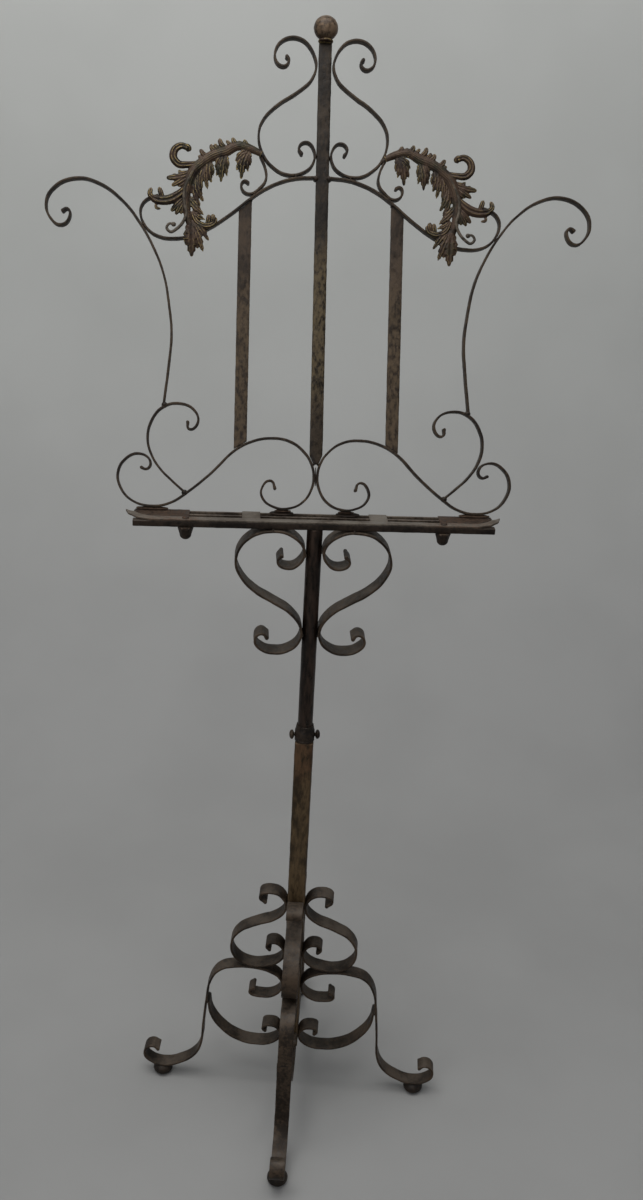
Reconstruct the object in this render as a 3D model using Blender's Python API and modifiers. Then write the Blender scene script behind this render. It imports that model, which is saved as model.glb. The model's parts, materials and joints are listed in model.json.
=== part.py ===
"""Wrought-iron lectern stand: a leaning scroll-work desk on a telescopic post with four scroll legs.

Metres, +Z up. The origin is on the floor in the middle of the stand's bounding box, and a reader
stands on the -Y side.
"""

import math

import bmesh
import bpy
from mathutils import Vector

MM = 0.001

# Driving dimensions, in millimetres.
GAP = 0.3  # clearance between neighbouring pieces
POST_FORWARD = 31.2  # post axis in front of the origin, because the desk leans back over it
LEDGE_TOP = 982.0  # height of the book ledge above the floor
DESK_LEAN = 24.0  # degrees the desk leans back
BASE_TURN = -6.0  # degrees the four legs stand turned against the desk

LOWER_TUBE_SIDE = 26.0
LOWER_TUBE_BOTTOM = 84.0
LOWER_TUBE_TOP = 645.0
UPPER_TUBE_RADIUS = 10.5
UPPER_TUBE_BORE_RADIUS = 8.0
UPPER_TUBE_BOTTOM = 215.0

COLLAR_RADIUS = 14.0
COLLAR_TOP = 671.0
COLLAR_SHOULDER = 662.0  # where the conical shoulder starts
COLLAR_LIP = 0.8  # flat lip round the collar's bore
SCREW_HEIGHT = 654.0  # axis of the two thumbscrews
SCREW_RADIUS = 3.0
SCREW_NECK = 1.0  # how far the stud shows between the collar and the knob
SCREW_KNOB_RADIUS = 7.0
SCREW_KNOB_LENGTH = 6.5
SCREW_KNOB_SKIRT = 2.0  # height where the knob is widest
SCREW_KNOB_CHAMFER = 1.0

STRIP = 3.2  # thickness of the flat bar in the base and under the ledge
LEG_WIDTH = 22.0
SCROLL_WIDTH = 24.0
HEART_WIDTH = 26.0
FOOT_DISTANCE = 203.0  # post axis to the middle of a bun foot
FOOT_RADIUS = 15.5
FOOT_HEIGHT = 19.5
FOOT_FLAT_ANGLE = 58.0  # latitude, in degrees, where the bun is cut flat

DESK_STRIP = 3.0  # thickness of the flat bar in the desk
DESK_WIDTH = 12.0  # its width, which is the desk's depth
DESK_SETBACK = 22.5  # desk plane behind the post's axis, at the ledge
DESK_RISE = 2.5  # desk datum above the ledge top
CENTRE_BAR_WIDTH = 17.0
CENTRE_BAR_THICKNESS = 8.0
CENTRE_BAR_TOP = 614.0
CENTRE_BAR_SHOULDER = 74.0  # where the bar starts to taper to its foot
CENTRE_BAR_FOOT = 62.0
CENTRE_BAR_FOOT_WIDTH = 6.0
SIDE_BAR_WIDTH = 17.0
SIDE_BAR_THICKNESS = 4.0
SIDE_BAR_CENTRE = 100.5
SIDE_BAR_BOTTOM = (90.1, 79.6)  # heights of its inner and outer corner on the lower scroll
SIDE_BAR_TOP = (406.5, 391.5)  # and under the arch rail
FINIAL_RADIUS = 16.0
FINIAL_FLAT_ANGLE = 72.0  # latitude where the ball is cut flat to sit on its ring
FINIAL_RING_HEIGHT = 3.0
FINIAL_RING_RADIUS = 10.0
FINIAL_RING_CHAMFER = 1.1
TIE_THICKNESS = 0.8  # shim welded between the two lower scrolls
TIE_HEIGHT = 24.0
TIE_MIDDLE = 46.0
LEAF_THICKNESS = 4.0

LEDGE_PLATE = 3.0  # thickness of the ledge's bars
STRAP_THICKNESS = 1.2  # of the straps, plates and saddles lying across them
LEDGE_FRONT = -10.0
LEDGE_BACK = 24.0
MIDDLE_BAR_SETBACK = 11.0  # from the back bar forward to the middle bar
FRONT_BAR_WIDTH = 10.0
EDGE_BAR_HEIGHT = 9.3
BACK_BAR_HALF_LENGTH = 238.0
MIDDLE_BAR_HALF_LENGTH = 229.0  # stops short of the front bar's swept tips
RAIL_HALF_LENGTH = 238.0
RAIL_HEIGHT = 8.0
STRAP_CENTRE = 84.0
STRAP_WIDTH = 24.0
END_PLATE_INNER = 165.0  # plates at the ledge's ends, from here out to the front bar's swept tips
END_PLATE_OUTER = 236.5
DESK_OVERHANG = 6.0  # how far the saddles under the desk's curls pass the back bar
TAB_CENTRE = 213.5  # tab of each end plate under the desk's outer curl
TAB_HALF = 20.0
PAD_CENTRE = 44.0  # oval saddles under the desk's two inner curls
PAD_WIDTH = 32.0
PAD_DEPTH = 14.0
BOLT_CENTRE = 169.5
BOLT_RADIUS = 2.5
BOLT_HEAD_RADIUS = 4.5
BOLT_HEAD_HEIGHT = 2.0
NUT_RADIUS = 10.5
NUT_HEIGHT = 18.0
NUT_SOCKET_DEPTH = 8.0

CURVE_STEPS = 3  # straight runs between two points of a bent bar
ROUND_STEPS = 24  # facets of a turned piece

BRONZE_PAINT = (0.045, 0.034, 0.026)
DARK_IRON = (0.028, 0.025, 0.022)
WORN_GILT = (0.14, 0.105, 0.045)
LIGHT_BRONZE = (0.085, 0.064, 0.045)

# Bent bars, as points along the bar's middle line: distance from the post's axis, then height.
UPPER_SCROLL = [
    (44, 361), (55, 371), (37, 380), (20, 371), (14.9, 353), (27, 334), (60, 318), (86, 301),
    (96, 275), (87, 251), (66, 239.5), (43, 241), (23, 250), (14.9, 264), (19, 279), (31, 286),
    (42, 279), (35, 271),
]  # fmt: skip
LEG = [
    (57, 195), (66, 187), (48, 178.5), (26, 184), (15.2, 201), (18, 215), (34, 228), (60, 234.5),
    (90, 233.5), (113, 225), (127, 203), (133, 165), (138, 110), (142, 68), (153, 46),
    (173, 30.5), (199, 21.5), (222, 28), (232, 44), (220, 59), (208, 52),
]  # fmt: skip
BRACE = [
    (129.5, 160), (126, 138), (112, 113), (85, 90), (52, 82), (28, 87), (15.4, 102), (18.8, 116),
    (31, 121.5), (43, 116), (37, 109),
]  # fmt: skip
HEART = [
    (41, 935), (48, 925), (34, 915.5), (18, 924), (13.2, 941), (30, 962), (57, 968), (88, 956),
    (103, 927), (97, 904), (77, 881), (50, 864), (28, 849), (13.1, 826), (14.5, 808),
    (27, 794), (47, 788.6), (67, 794.5), (75, 808), (66, 818), (57, 810),
]  # fmt: skip

# Bent bars of the desk: distance from the desk's middle line, then height along the desk.
TOP_SCROLL = [
    (52, 595.5), (47.3, 589.5), (56, 581.5), (66, 599), (41, 619.5), (13.2, 594), (15.5, 569),
    (35, 549), (62, 530), (81, 508), (85, 491), (80, 468), (66, 450), (46, 440.6), (25, 444.5), (12.8, 457),
    (12.9, 476), (23, 484), (32, 476), (27, 467),
]  # fmt: skip
ARCH_RAIL = [
    (8.9, 438.5), (35, 436.3), (54, 431), (73, 422), (92, 409), (120, 386), (150, 365.5),
    (171, 356), (192, 352), (211, 353.5), (224.3, 360.2), (232.6, 370.3), (236.8, 381.5),
    (235.5, 393), (227.5, 402), (214, 407),
]  # fmt: skip
SMALL_SCROLL = [
    (82, 463), (75.5, 448), (74.5, 433), (82, 421.8), (96, 413.5), (106, 421), (103, 430), (96, 427),
]  # fmt: skip
ARM = [
    (339, 381), (331, 385), (329, 373), (340, 364), (352, 371), (359, 391), (350, 411), (321, 425),
    (292, 420), (262, 400), (239, 373), (219, 339), (205, 304), (197, 262), (193.5, 228),
    (196, 190), (202, 135.2),
]  # fmt: skip
SIDE_SCROLL = [
    (170, 115), (168, 104), (157, 112), (161, 128), (181, 137), (203, 131.5), (218, 112),
    (222, 90), (217, 70), (205, 51), (189, 35.5), (172.2, 21),
]  # fmt: skip
LOWER_SCROLL = [
    (231, 53), (222.5, 50), (217.5, 59), (232, 70), (251, 62), (260, 43), (256, 25), (241, 8.5),
    (214, 2), (190, 7), (170, 20), (136, 49), (107, 78), (85, 90), (60, 95), (34, 91),
    (15, 77), (6.5, 64), (2.4, 46), (5.5, 28), (16, 12), (34, 3.2), (53, 4), (69, 15),
    (71, 28), (59, 39), (53, 27),
]  # fmt: skip
LEAF = [
    (82, 471), (95, 479), (110, 485), (126, 484), (142, 480), (155, 473), (165, 463), (171, 462),
    (177, 469), (186, 473), (195, 466), (194, 455), (186, 447), (195, 441), (205, 432), (203, 424),
    (191, 419), (189, 413), (202, 411), (211, 418), (223, 416), (225, 407), (216, 401), (213, 391),
    (199, 390), (198, 374), (188, 376), (183, 362), (177, 347), (169, 325), (161, 334), (153, 338),
    (155, 348), (146, 353), (152, 365), (138, 379), (153, 387), (160, 397), (150, 404), (152, 418),
    (158, 430), (150, 439), (141, 431), (131, 429), (128, 441), (122, 452), (114, 446), (108, 434),
    (101, 440), (98, 452), (88, 461),
]  # fmt: skip
LEDGE_TIP = [(215, -10), (232, -4), (243, 8), (249, 22), (239, 17), (229, 7), (215, 0)]


def clear_scene():
    for obj in list(bpy.data.objects):
        bpy.data.objects.remove(obj, do_unlink=True)


def new_collection(name):
    collection = bpy.data.collections.new(name)
    bpy.context.scene.collection.children.link(collection)
    return collection


def iron(obj, colour, roughness=0.55, metallic=0.6):
    """Give the piece its own painted-iron material."""
    material = bpy.data.materials.new(obj.name + "_finish")
    material.use_nodes = True
    shader = material.node_tree.nodes["Principled BSDF"]
    shader.inputs["Base Color"].default_value = (*colour, 1.0)
    shader.inputs["Roughness"].default_value = roughness
    shader.inputs["Metallic"].default_value = metallic
    obj.data.materials.append(material)
    return obj


def place(name, data, parent=None, location=(0, 0, 0), rotation=(0, 0, 0)):
    """Link an object into the lectern. Location in millimetres, rotation in degrees."""
    obj = bpy.data.objects.new(name, data)
    LECTERN.objects.link(obj)
    obj.parent = parent
    obj.location = Vector(location) * MM
    obj.rotation_euler = [math.radians(angle) for angle in rotation]
    return obj


def flat_bar(name, points, width, thickness, parent, rotation=(0, 0, 0), colour=BRONZE_PAINT):
    """A flat bar bent along points in its local XY plane, its width along local Z."""
    curve = bpy.data.curves.new(name, "CURVE")
    curve.dimensions = "2D"
    curve.fill_mode = "NONE"
    curve.resolution_u = CURVE_STEPS
    curve.extrude = width / 2 * MM
    spline = curve.splines.new("BEZIER")
    spline.bezier_points.add(len(points) - 1)
    for knot, (x, y) in zip(spline.bezier_points, points):
        knot.co = (x * MM, y * MM, 0)
        knot.handle_left_type = "AUTO"
        knot.handle_right_type = "AUTO"
    obj = place(name, curve, parent, rotation=rotation)
    solidify = obj.modifiers.new("thickness", "SOLIDIFY")
    solidify.thickness = thickness * MM
    solidify.offset = 0
    return iron(obj, colour)


def plate(name, outline, thickness, parent=None, location=(0, 0, 0), rotation=(0, 0, 0),
          holes=(), smooth=False, colour=BRONZE_PAINT):
    """A flat plate or bar: an outline in local XY with round holes (x, y, radius)."""
    curve = bpy.data.curves.new(name, "CURVE")
    curve.dimensions = "2D"
    curve.fill_mode = "BOTH"
    curve.resolution_u = 2
    curve.extrude = thickness / 2 * MM
    rings = [(outline, smooth)]
    for x, y, radius in holes:
        rings.append((circle(x, y, radius), False))
    for ring, is_smooth in rings:
        spline = curve.splines.new("BEZIER" if is_smooth else "POLY")
        spline.use_cyclic_u = True
        if is_smooth:
            spline.bezier_points.add(len(ring) - 1)
            for knot, (x, y) in zip(spline.bezier_points, ring):
                knot.co = (x * MM, y * MM, 0)
                knot.handle_left_type = "AUTO"
                knot.handle_right_type = "AUTO"
        else:
            spline.points.add(len(ring) - 1)
            for knot, (x, y) in zip(spline.points, ring):
                knot.co = (x * MM, y * MM, 0, 1)
    return iron(place(name, curve, parent, location, rotation), colour)


def circle(x, y, radius, steps=ROUND_STEPS):
    angles = [2 * math.pi * step / steps for step in range(steps)]
    return [(x + radius * math.cos(angle), y + radius * math.sin(angle)) for angle in angles]


def oval(half_x, half_y):
    return [(half_x * x, half_y * y) for x, y in circle(0, 0, 1)]


def rectangle(half_x, half_y):
    return [(-half_x, -half_y), (half_x, -half_y), (half_x, half_y), (-half_x, half_y)]


def arc(centre, radius_x, radius_z, start, end, steps):
    """Points (radius, height) of an elliptic arc round the height `centre` on the axis."""
    angles = [math.radians(start + (end - start) * step / steps) for step in range(steps + 1)]
    return [(radius_x * math.cos(a), centre + radius_z * math.sin(a)) for a in angles]


def turned(name, profile, parent=None, location=(0, 0, 0), rotation=(0, 0, 0),
           closed=False, colour=BRONZE_PAINT):
    """A turned piece: profile of (radius, height) down its outer side, swept round local Z."""
    shape = bmesh.new()
    verts = [shape.verts.new((radius * MM, 0, height * MM)) for radius, height in profile]
    pairs = list(zip(verts, verts[1:]))
    if closed:
        pairs.append((verts[-1], verts[0]))
    for pair in pairs:
        shape.edges.new(pair)
    mesh = bpy.data.meshes.new(name)
    shape.to_mesh(mesh)
    shape.free()
    obj = place(name, mesh, parent, location, rotation)
    screw = obj.modifiers.new("turn", "SCREW")
    screw.steps = ROUND_STEPS
    screw.render_steps = ROUND_STEPS
    screw.use_merge_vertices = True
    screw.merge_threshold = 0.00001
    screw.use_smooth_shade = True
    return iron(obj, colour)


def cutter(name, radius, length, parent, location, rotation):
    bpy.ops.mesh.primitive_cylinder_add(vertices=ROUND_STEPS, radius=radius * MM, depth=length * MM)
    obj = bpy.context.object
    obj.name = name
    for collection in list(obj.users_collection):
        collection.objects.unlink(obj)
    CUTTERS.objects.link(obj)
    obj.parent = parent
    obj.location = Vector(location) * MM
    obj.rotation_euler = [math.radians(angle) for angle in rotation]
    obj.hide_render = True
    obj.display_type = "WIRE"
    return obj


def mirrored(points, side):
    return [(side * x, y) for x, y in points]


def build_base():
    """Lower square tube, and round it four legs with their scrolls, braces and bun feet."""
    base = place("base_frame", None, STAND, rotation=(0, 0, BASE_TURN))
    half = LOWER_TUBE_SIDE / 2
    bore = UPPER_TUBE_RADIUS + GAP
    plate("lower_tube", rectangle(half, half), LOWER_TUBE_TOP - LOWER_TUBE_BOTTOM, base,
          (0, 0, (LOWER_TUBE_TOP + LOWER_TUBE_BOTTOM) / 2), holes=[(0, 0, bore)])
    upright = (90, 0, 0)
    latitude = FOOT_FLAT_ANGLE
    middle = FOOT_HEIGHT / 2
    bulge = middle / math.sin(math.radians(latitude))
    bun = arc(middle, FOOT_RADIUS, bulge, latitude, -latitude, 8)
    bun = [(0, FOOT_HEIGHT)] + bun + [(0, 0)]
    for place_name, angle in (("right", 0), ("back", 90), ("left", 180), ("front", 270)):
        spoke = place("spoke_" + place_name, None, base, rotation=(0, 0, angle))
        flat_bar("upper_scroll_" + place_name, UPPER_SCROLL, SCROLL_WIDTH, STRIP, spoke, upright)
        flat_bar("leg_" + place_name, LEG, LEG_WIDTH, STRIP, spoke, upright)
        flat_bar("brace_" + place_name, BRACE, SCROLL_WIDTH, STRIP, spoke, upright)
        turned("foot_" + place_name, bun, spoke, (FOOT_DISTANCE, 0, 0), colour=DARK_IRON)


def build_collar():
    """Stop collar that seats on the lower tube, with a thumbscrew on each side."""
    bore = UPPER_TUBE_RADIUS + GAP
    bottom = LOWER_TUBE_TOP + GAP
    profile = [(bore, COLLAR_TOP), (bore + COLLAR_LIP, COLLAR_TOP), (COLLAR_RADIUS, COLLAR_SHOULDER),
               (COLLAR_RADIUS, bottom), (bore, bottom)]
    collar = turned("collar", profile, STAND, closed=True, colour=DARK_IRON)
    hole = cutter("screw_hole", SCREW_RADIUS + GAP, 4 * COLLAR_RADIUS, STAND, (0, 0, SCREW_HEIGHT),
                  (0, 90, 0))
    cut = collar.modifiers.new("screw_holes", "BOOLEAN")
    cut.operation = "DIFFERENCE"
    cut.object = hole
    tip = UPPER_TUBE_RADIUS + GAP
    neck = COLLAR_RADIUS + SCREW_NECK
    stud = [(0, neck), (SCREW_RADIUS, neck), (SCREW_RADIUS, tip), (0, tip)]
    knob_foot = neck + GAP
    knob_top = knob_foot + SCREW_KNOB_LENGTH
    dome = SCREW_KNOB_LENGTH - SCREW_KNOB_SKIRT
    knob = [(0, knob_top)] + arc(knob_foot + SCREW_KNOB_SKIRT, SCREW_KNOB_RADIUS, dome, 80, 0, 5)
    knob += [(SCREW_KNOB_RADIUS - SCREW_KNOB_CHAMFER, knob_foot), (0, knob_foot)]
    for side, sign in (("left", -1), ("right", 1)):
        axis = place("screw_axis_" + side, None, STAND, (0, 0, SCREW_HEIGHT), (0, 90 * sign, 0))
        turned("thumbscrew_stud_" + side, stud, axis, colour=DARK_IRON)
        turned("thumbscrew_knob_" + side, knob, axis)


def build_upper_post():
    """Round upper tube with the two heart scrolls that brace the ledge."""
    top = LEDGE_TOP - LEDGE_PLATE - GAP - RAIL_HEIGHT - GAP
    outer = circle(0, 0, UPPER_TUBE_RADIUS)
    plate("upper_tube", outer, top - UPPER_TUBE_BOTTOM, STAND, (0, 0, (top + UPPER_TUBE_BOTTOM) / 2),
          holes=[(0, 0, UPPER_TUBE_BORE_RADIUS)], colour=DARK_IRON)
    for side, sign in (("left", -1), ("right", 1)):
        flat_bar("heart_scroll_" + side, mirrored(HEART, sign), HEART_WIDTH, STRIP, STAND,
                 (90, 0, 0))


def build_ledge():
    """Book ledge: a rail on the post, bars and straps on it, and two bolts with domed nuts."""
    plate_middle = LEDGE_TOP - LEDGE_PLATE / 2
    under = LEDGE_TOP - LEDGE_PLATE - GAP
    middle_line = LEDGE_FRONT + FRONT_BAR_WIDTH / 2
    bolts = [(-BOLT_CENTRE, middle_line), (BOLT_CENTRE, middle_line)]
    holes = [(x, y, BOLT_RADIUS + GAP) for x, y in bolts]
    outline = LEDGE_TIP + mirrored(LEDGE_TIP, -1)[::-1]
    plate("ledge_front_bar", outline, LEDGE_PLATE, STAND, (0, 0, plate_middle), holes=holes,
          colour=LIGHT_BRONZE)
    rail_holes = [(x, 0, BOLT_RADIUS + GAP) for x, _ in bolts]
    plate("rail", rectangle(RAIL_HALF_LENGTH, FRONT_BAR_WIDTH / 2), RAIL_HEIGHT, STAND,
          (0, middle_line, under - RAIL_HEIGHT / 2), holes=rail_holes, colour=DARK_IRON)
    back_bar = LEDGE_BACK - LEDGE_PLATE / 2
    bars_top = LEDGE_TOP - STRAP_THICKNESS - GAP
    edge_bars = (("ledge_middle_bar", back_bar - MIDDLE_BAR_SETBACK, MIDDLE_BAR_HALF_LENGTH),
                 ("ledge_back_bar", back_bar, BACK_BAR_HALF_LENGTH))
    for name, y, half_length in edge_bars:
        plate(name, rectangle(half_length, LEDGE_PLATE / 2), EDGE_BAR_HEIGHT, STAND,
              (0, y, bars_top - EDGE_BAR_HEIGHT / 2), colour=DARK_IRON)
    strap_front = LEDGE_FRONT + FRONT_BAR_WIDTH + GAP
    strap_depth = LEDGE_BACK - strap_front
    desk_back = LEDGE_BACK + DESK_OVERHANG
    corner = LEDGE_TIP[-1][0] - GAP
    end_plate = [
        (END_PLATE_INNER, strap_front), (corner, strap_front), (corner + 13.7, 7.4), (END_PLATE_OUTER, 15.0),
        (END_PLATE_OUTER, LEDGE_BACK), (TAB_CENTRE + TAB_HALF, LEDGE_BACK),
        (TAB_CENTRE + TAB_HALF - DESK_OVERHANG, desk_back), (TAB_CENTRE - TAB_HALF + DESK_OVERHANG, desk_back),
        (TAB_CENTRE - TAB_HALF, LEDGE_BACK), (END_PLATE_INNER, LEDGE_BACK),
    ]
    strap_middle = LEDGE_TOP - STRAP_THICKNESS / 2
    for side, sign in (("left", -1), ("right", 1)):
        plate("ledge_strap_" + side, rectangle(STRAP_WIDTH / 2, strap_depth / 2), STRAP_THICKNESS, STAND,
              (sign * STRAP_CENTRE, strap_front + strap_depth / 2, strap_middle), colour=LIGHT_BRONZE)
        plate("end_plate_" + side, mirrored(end_plate, sign), STRAP_THICKNESS, STAND,
              (0, 0, strap_middle), colour=LIGHT_BRONZE)
        plate("desk_pad_" + side, oval(PAD_WIDTH / 2, PAD_DEPTH / 2), STRAP_THICKNESS, STAND,
              (sign * PAD_CENTRE, desk_back - PAD_DEPTH / 2, strap_middle), colour=LIGHT_BRONZE)
    nut_top = under - RAIL_HEIGHT - GAP
    nut_waist = nut_top - NUT_HEIGHT / 3
    thread = BOLT_RADIUS + GAP
    socket = nut_top - NUT_SOCKET_DEPTH
    nut = [(0, socket), (thread, socket), (thread, nut_top), (NUT_RADIUS, nut_top)]
    nut += arc(nut_waist, NUT_RADIUS, NUT_HEIGHT * 2 / 3, 0, -80, 6)
    nut.append((0, nut_top - NUT_HEIGHT))
    head = LEDGE_TOP + GAP
    bolt = [(0, head + BOLT_HEAD_HEIGHT)] + arc(head, BOLT_HEAD_RADIUS, BOLT_HEAD_HEIGHT, 75, 0, 3)
    bolt += [(BOLT_RADIUS, head), (BOLT_RADIUS, socket + GAP), (0, socket + GAP)]
    for side, (x, y) in zip(("left", "right"), bolts):
        turned("cap_nut_" + side, nut, STAND, (x, y, 0))
        turned("ledge_bolt_" + side, bolt, STAND, (x, y, 0), colour=DARK_IRON)


def build_desk():
    """Leaning desk: bars and finial in the middle, scroll work and leaves on each side."""
    desk = place("desk_frame", None, STAND, (0, DESK_SETBACK, LEDGE_TOP + DESK_RISE),
                 (90 - DESK_LEAN, 0, 0))
    half = CENTRE_BAR_WIDTH / 2
    foot = CENTRE_BAR_FOOT_WIDTH / 2
    bar = [(half, CENTRE_BAR_TOP), (-half, CENTRE_BAR_TOP), (-half, CENTRE_BAR_SHOULDER),
           (-foot, CENTRE_BAR_FOOT), (foot, CENTRE_BAR_FOOT), (half, CENTRE_BAR_SHOULDER)]
    plate("centre_bar", bar, CENTRE_BAR_THICKNESS, desk)
    upright = (-90, 0, 0)
    ring_bottom = CENTRE_BAR_TOP + GAP
    ring_top = ring_bottom + FINIAL_RING_HEIGHT
    edge = FINIAL_RING_CHAMFER
    lip = FINIAL_RING_RADIUS - edge
    ring = [(0, ring_top), (lip, ring_top), (FINIAL_RING_RADIUS, ring_top - edge),
            (FINIAL_RING_RADIUS, ring_bottom + edge), (lip, ring_bottom), (0, ring_bottom)]
    turned("finial_ring", ring, desk, (0, 0, 0), upright, colour=WORN_GILT)
    centre = ring_top + GAP + FINIAL_RADIUS * math.sin(math.radians(FINIAL_FLAT_ANGLE))
    ball = [(0, centre + FINIAL_RADIUS)]
    ball += arc(centre, FINIAL_RADIUS, FINIAL_RADIUS, 78, -FINIAL_FLAT_ANGLE, 12)
    ball.append((0, ball[-1][1]))
    turned("finial_ball", ball, desk, (0, 0, 0), upright)
    plate("scroll_tie", rectangle(TIE_THICKNESS / 2, TIE_HEIGHT / 2), DESK_WIDTH - 2, desk,
          (0, TIE_MIDDLE, 0))
    bar_half = SIDE_BAR_WIDTH / 2
    leaf_plane = DESK_WIDTH / 2 + GAP + LEAF_THICKNESS / 2
    for side, sign in (("left", -1), ("right", 1)):
        inner = [(-bar_half, SIDE_BAR_TOP[0]), (-bar_half, SIDE_BAR_BOTTOM[0])]
        outer = [(bar_half, SIDE_BAR_BOTTOM[1]), (bar_half, SIDE_BAR_TOP[1])]
        plate("side_bar_" + side, mirrored(inner + outer, sign), SIDE_BAR_THICKNESS, desk,
              (sign * SIDE_BAR_CENTRE, 0, 0), colour=LIGHT_BRONZE)
        for name, points in (("top_scroll_", TOP_SCROLL), ("arch_rail_", ARCH_RAIL),
                             ("small_scroll_", SMALL_SCROLL), ("arm_", ARM),
                             ("side_scroll_", SIDE_SCROLL), ("lower_scroll_", LOWER_SCROLL)):
            flat_bar(name + side, mirrored(points, sign), DESK_WIDTH, DESK_STRIP, desk)
        plate("acanthus_" + side, mirrored(LEAF, sign), LEAF_THICKNESS, desk, (0, 0, leaf_plane),
              smooth=True, colour=WORN_GILT)


clear_scene()
LECTERN = new_collection("lectern_stand")
CUTTERS = new_collection("cutters")
STAND = place("stand", None, location=(0, -POST_FORWARD, 0))
build_base()
build_collar()
build_upper_post()
build_ledge()
build_desk()
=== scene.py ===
"""Looks of a wrought-iron lectern stand: forged bars, cast leaves and worn paint round the fixed frame.

Metres, +Z up. Every place comes from the frame: its nodes' outlines, boxes, mounts and joints.
A shell is (points, faces) of one or more closed surfaces.
"""

import json
import math
from collections import Counter, defaultdict

import bmesh
import bpy
import numpy as np
from mathutils import Matrix, Vector, noise
from mathutils.kdtree import KDTree

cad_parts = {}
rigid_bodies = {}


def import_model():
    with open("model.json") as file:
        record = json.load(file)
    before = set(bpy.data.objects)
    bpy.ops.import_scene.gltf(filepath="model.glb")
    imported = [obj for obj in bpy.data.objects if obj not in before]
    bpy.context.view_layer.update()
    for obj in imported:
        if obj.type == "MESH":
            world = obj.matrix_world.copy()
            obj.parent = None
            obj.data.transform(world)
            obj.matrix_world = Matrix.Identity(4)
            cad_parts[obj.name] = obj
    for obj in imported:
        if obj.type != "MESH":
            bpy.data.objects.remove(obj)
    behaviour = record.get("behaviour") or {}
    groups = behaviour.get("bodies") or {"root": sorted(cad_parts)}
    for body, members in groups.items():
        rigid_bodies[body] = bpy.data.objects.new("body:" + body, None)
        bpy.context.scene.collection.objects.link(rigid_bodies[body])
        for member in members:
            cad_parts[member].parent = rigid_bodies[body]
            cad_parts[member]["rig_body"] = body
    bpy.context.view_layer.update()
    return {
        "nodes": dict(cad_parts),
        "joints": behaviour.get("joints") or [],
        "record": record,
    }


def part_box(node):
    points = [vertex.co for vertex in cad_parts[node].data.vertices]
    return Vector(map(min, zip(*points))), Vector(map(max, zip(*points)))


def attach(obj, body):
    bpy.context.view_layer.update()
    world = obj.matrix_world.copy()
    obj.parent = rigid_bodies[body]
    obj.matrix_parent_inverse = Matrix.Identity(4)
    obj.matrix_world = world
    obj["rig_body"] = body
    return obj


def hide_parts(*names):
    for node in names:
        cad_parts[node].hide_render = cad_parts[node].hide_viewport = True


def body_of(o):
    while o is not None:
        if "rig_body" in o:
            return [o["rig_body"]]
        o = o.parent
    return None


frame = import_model()

MM = 0.001
SIDES = ("left", "right")
LEGS = ("front", "left", "right", "back")
MOUNTS = {mount["name"]: mount for mount in frame["record"]["mounts"]}
JOINTS = {joint["name"]: joint for joint in frame["joints"]}
POST = np.array(JOINTS["swivel"]["pos_m"]) * [1, 1, 0]
ACROSS, DEEP, UPWARD = np.eye(3)

ROW_STEP = 1.7 * MM  # between two rings of points along a bar
SECTION_STEP = 3.2 * MM  # between two points across a bar's flat face
EDGE_ROUND = 0.6 * MM  # rounding of a flat bar's edges
HAMMER_SIZE = 11 * MM  # from one hammer mark to the next
UPSET_LENGTH = 5 * MM  # stretch over which a scroll's end is forged thicker
POLE = 0.001 * MM  # radius that closes a turned shape on its axis

PIECES = {}  # each new piece's points in the rest pose, for finding where pieces meet
BAR_OUT = {}  # for each bar, the direction of its width and how wide it is
BAR_ENDS = defaultdict(list)  # for each bent bar, its two ends


class Plane:
    """A flat working plane. A place on it is (across, up, out), and out is along its normal."""

    def __init__(self, origin, across, up):
        self.origin = np.array(origin, float)
        self.axes = np.array([across, up, np.cross(across, up)], float)

    def flatten(self, points):
        return (np.asarray(points, float) - self.origin) @ self.axes.T

    def stand_up(self, places):
        return self.origin + np.asarray(places, float) @ self.axes


class Line:
    """A smooth curve through places on a plane, read by the distance along it."""

    def __init__(self, places):
        self.places = np.asarray(places, float)
        gaps = np.linalg.norm(np.diff(self.places, axis=0), axis=1)
        self.distances = np.concatenate([[0], np.cumsum(gaps)])
        self.slopes = np.gradient(self.places, self.distances, axis=0)
        self.length = self.distances[-1]

    def at(self, distance):
        """Points and unit tangents at these distances, by Hermite curves between the places."""
        distance = np.asarray(distance, float)
        first = np.searchsorted(self.distances, distance, side="right") - 1
        first = np.clip(first, 0, len(self.places) - 2)
        span = (self.distances[first + 1] - self.distances[first])[:, None]
        t = (distance[:, None] - self.distances[first][:, None]) / span
        a, b = self.places[first], self.places[first + 1]
        u, v = self.slopes[first] * span, self.slopes[first + 1] * span
        points = (2 * t**3 - 3 * t**2 + 1) * a + (t**3 - 2 * t**2 + t) * u
        points += (3 * t**2 - 2 * t**3) * b + (t**3 - t**2) * v
        slope = (6 * t**2 - 6 * t) * (a - b) + (3 * t**2 - 4 * t + 1) * u + (3 * t**2 - 2 * t) * v
        return points, slope / np.linalg.norm(slope, axis=1)[:, None]


def desk_plane():
    face = MOUNTS["desk_face"]
    return Plane(face["pos_m"], ACROSS, np.cross(face["axis"], ACROSS))


def leg_plane(leg):
    radial = np.array(MOUNTS["floor_" + leg]["pos_m"]) - POST
    return Plane(POST, radial / np.linalg.norm(radial), UPWARD)


DESK = desk_plane()
FACING = Plane(POST, ACROSS, UPWARD)
LEVEL = Plane(POST, ACROSS, DEEP)
LEG_PLANES = {leg: leg_plane(leg) for leg in LEGS}


# ---- Reading the frame ----


def size_in(node, plane):
    """Lowest and highest place of a CAD node on a plane."""
    flat = plane.flatten([vertex.co for vertex in frame["nodes"][node].data.vertices])
    return flat.min(0), flat.max(0)


def standing(node):
    """An upright node's axis at floor level, its bottom, its top and its radius."""
    low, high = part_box(node)
    return np.array((low + high) / 2) * [1, 1, 0], low.z, high.z, (high.x - low.x) / 2


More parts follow.
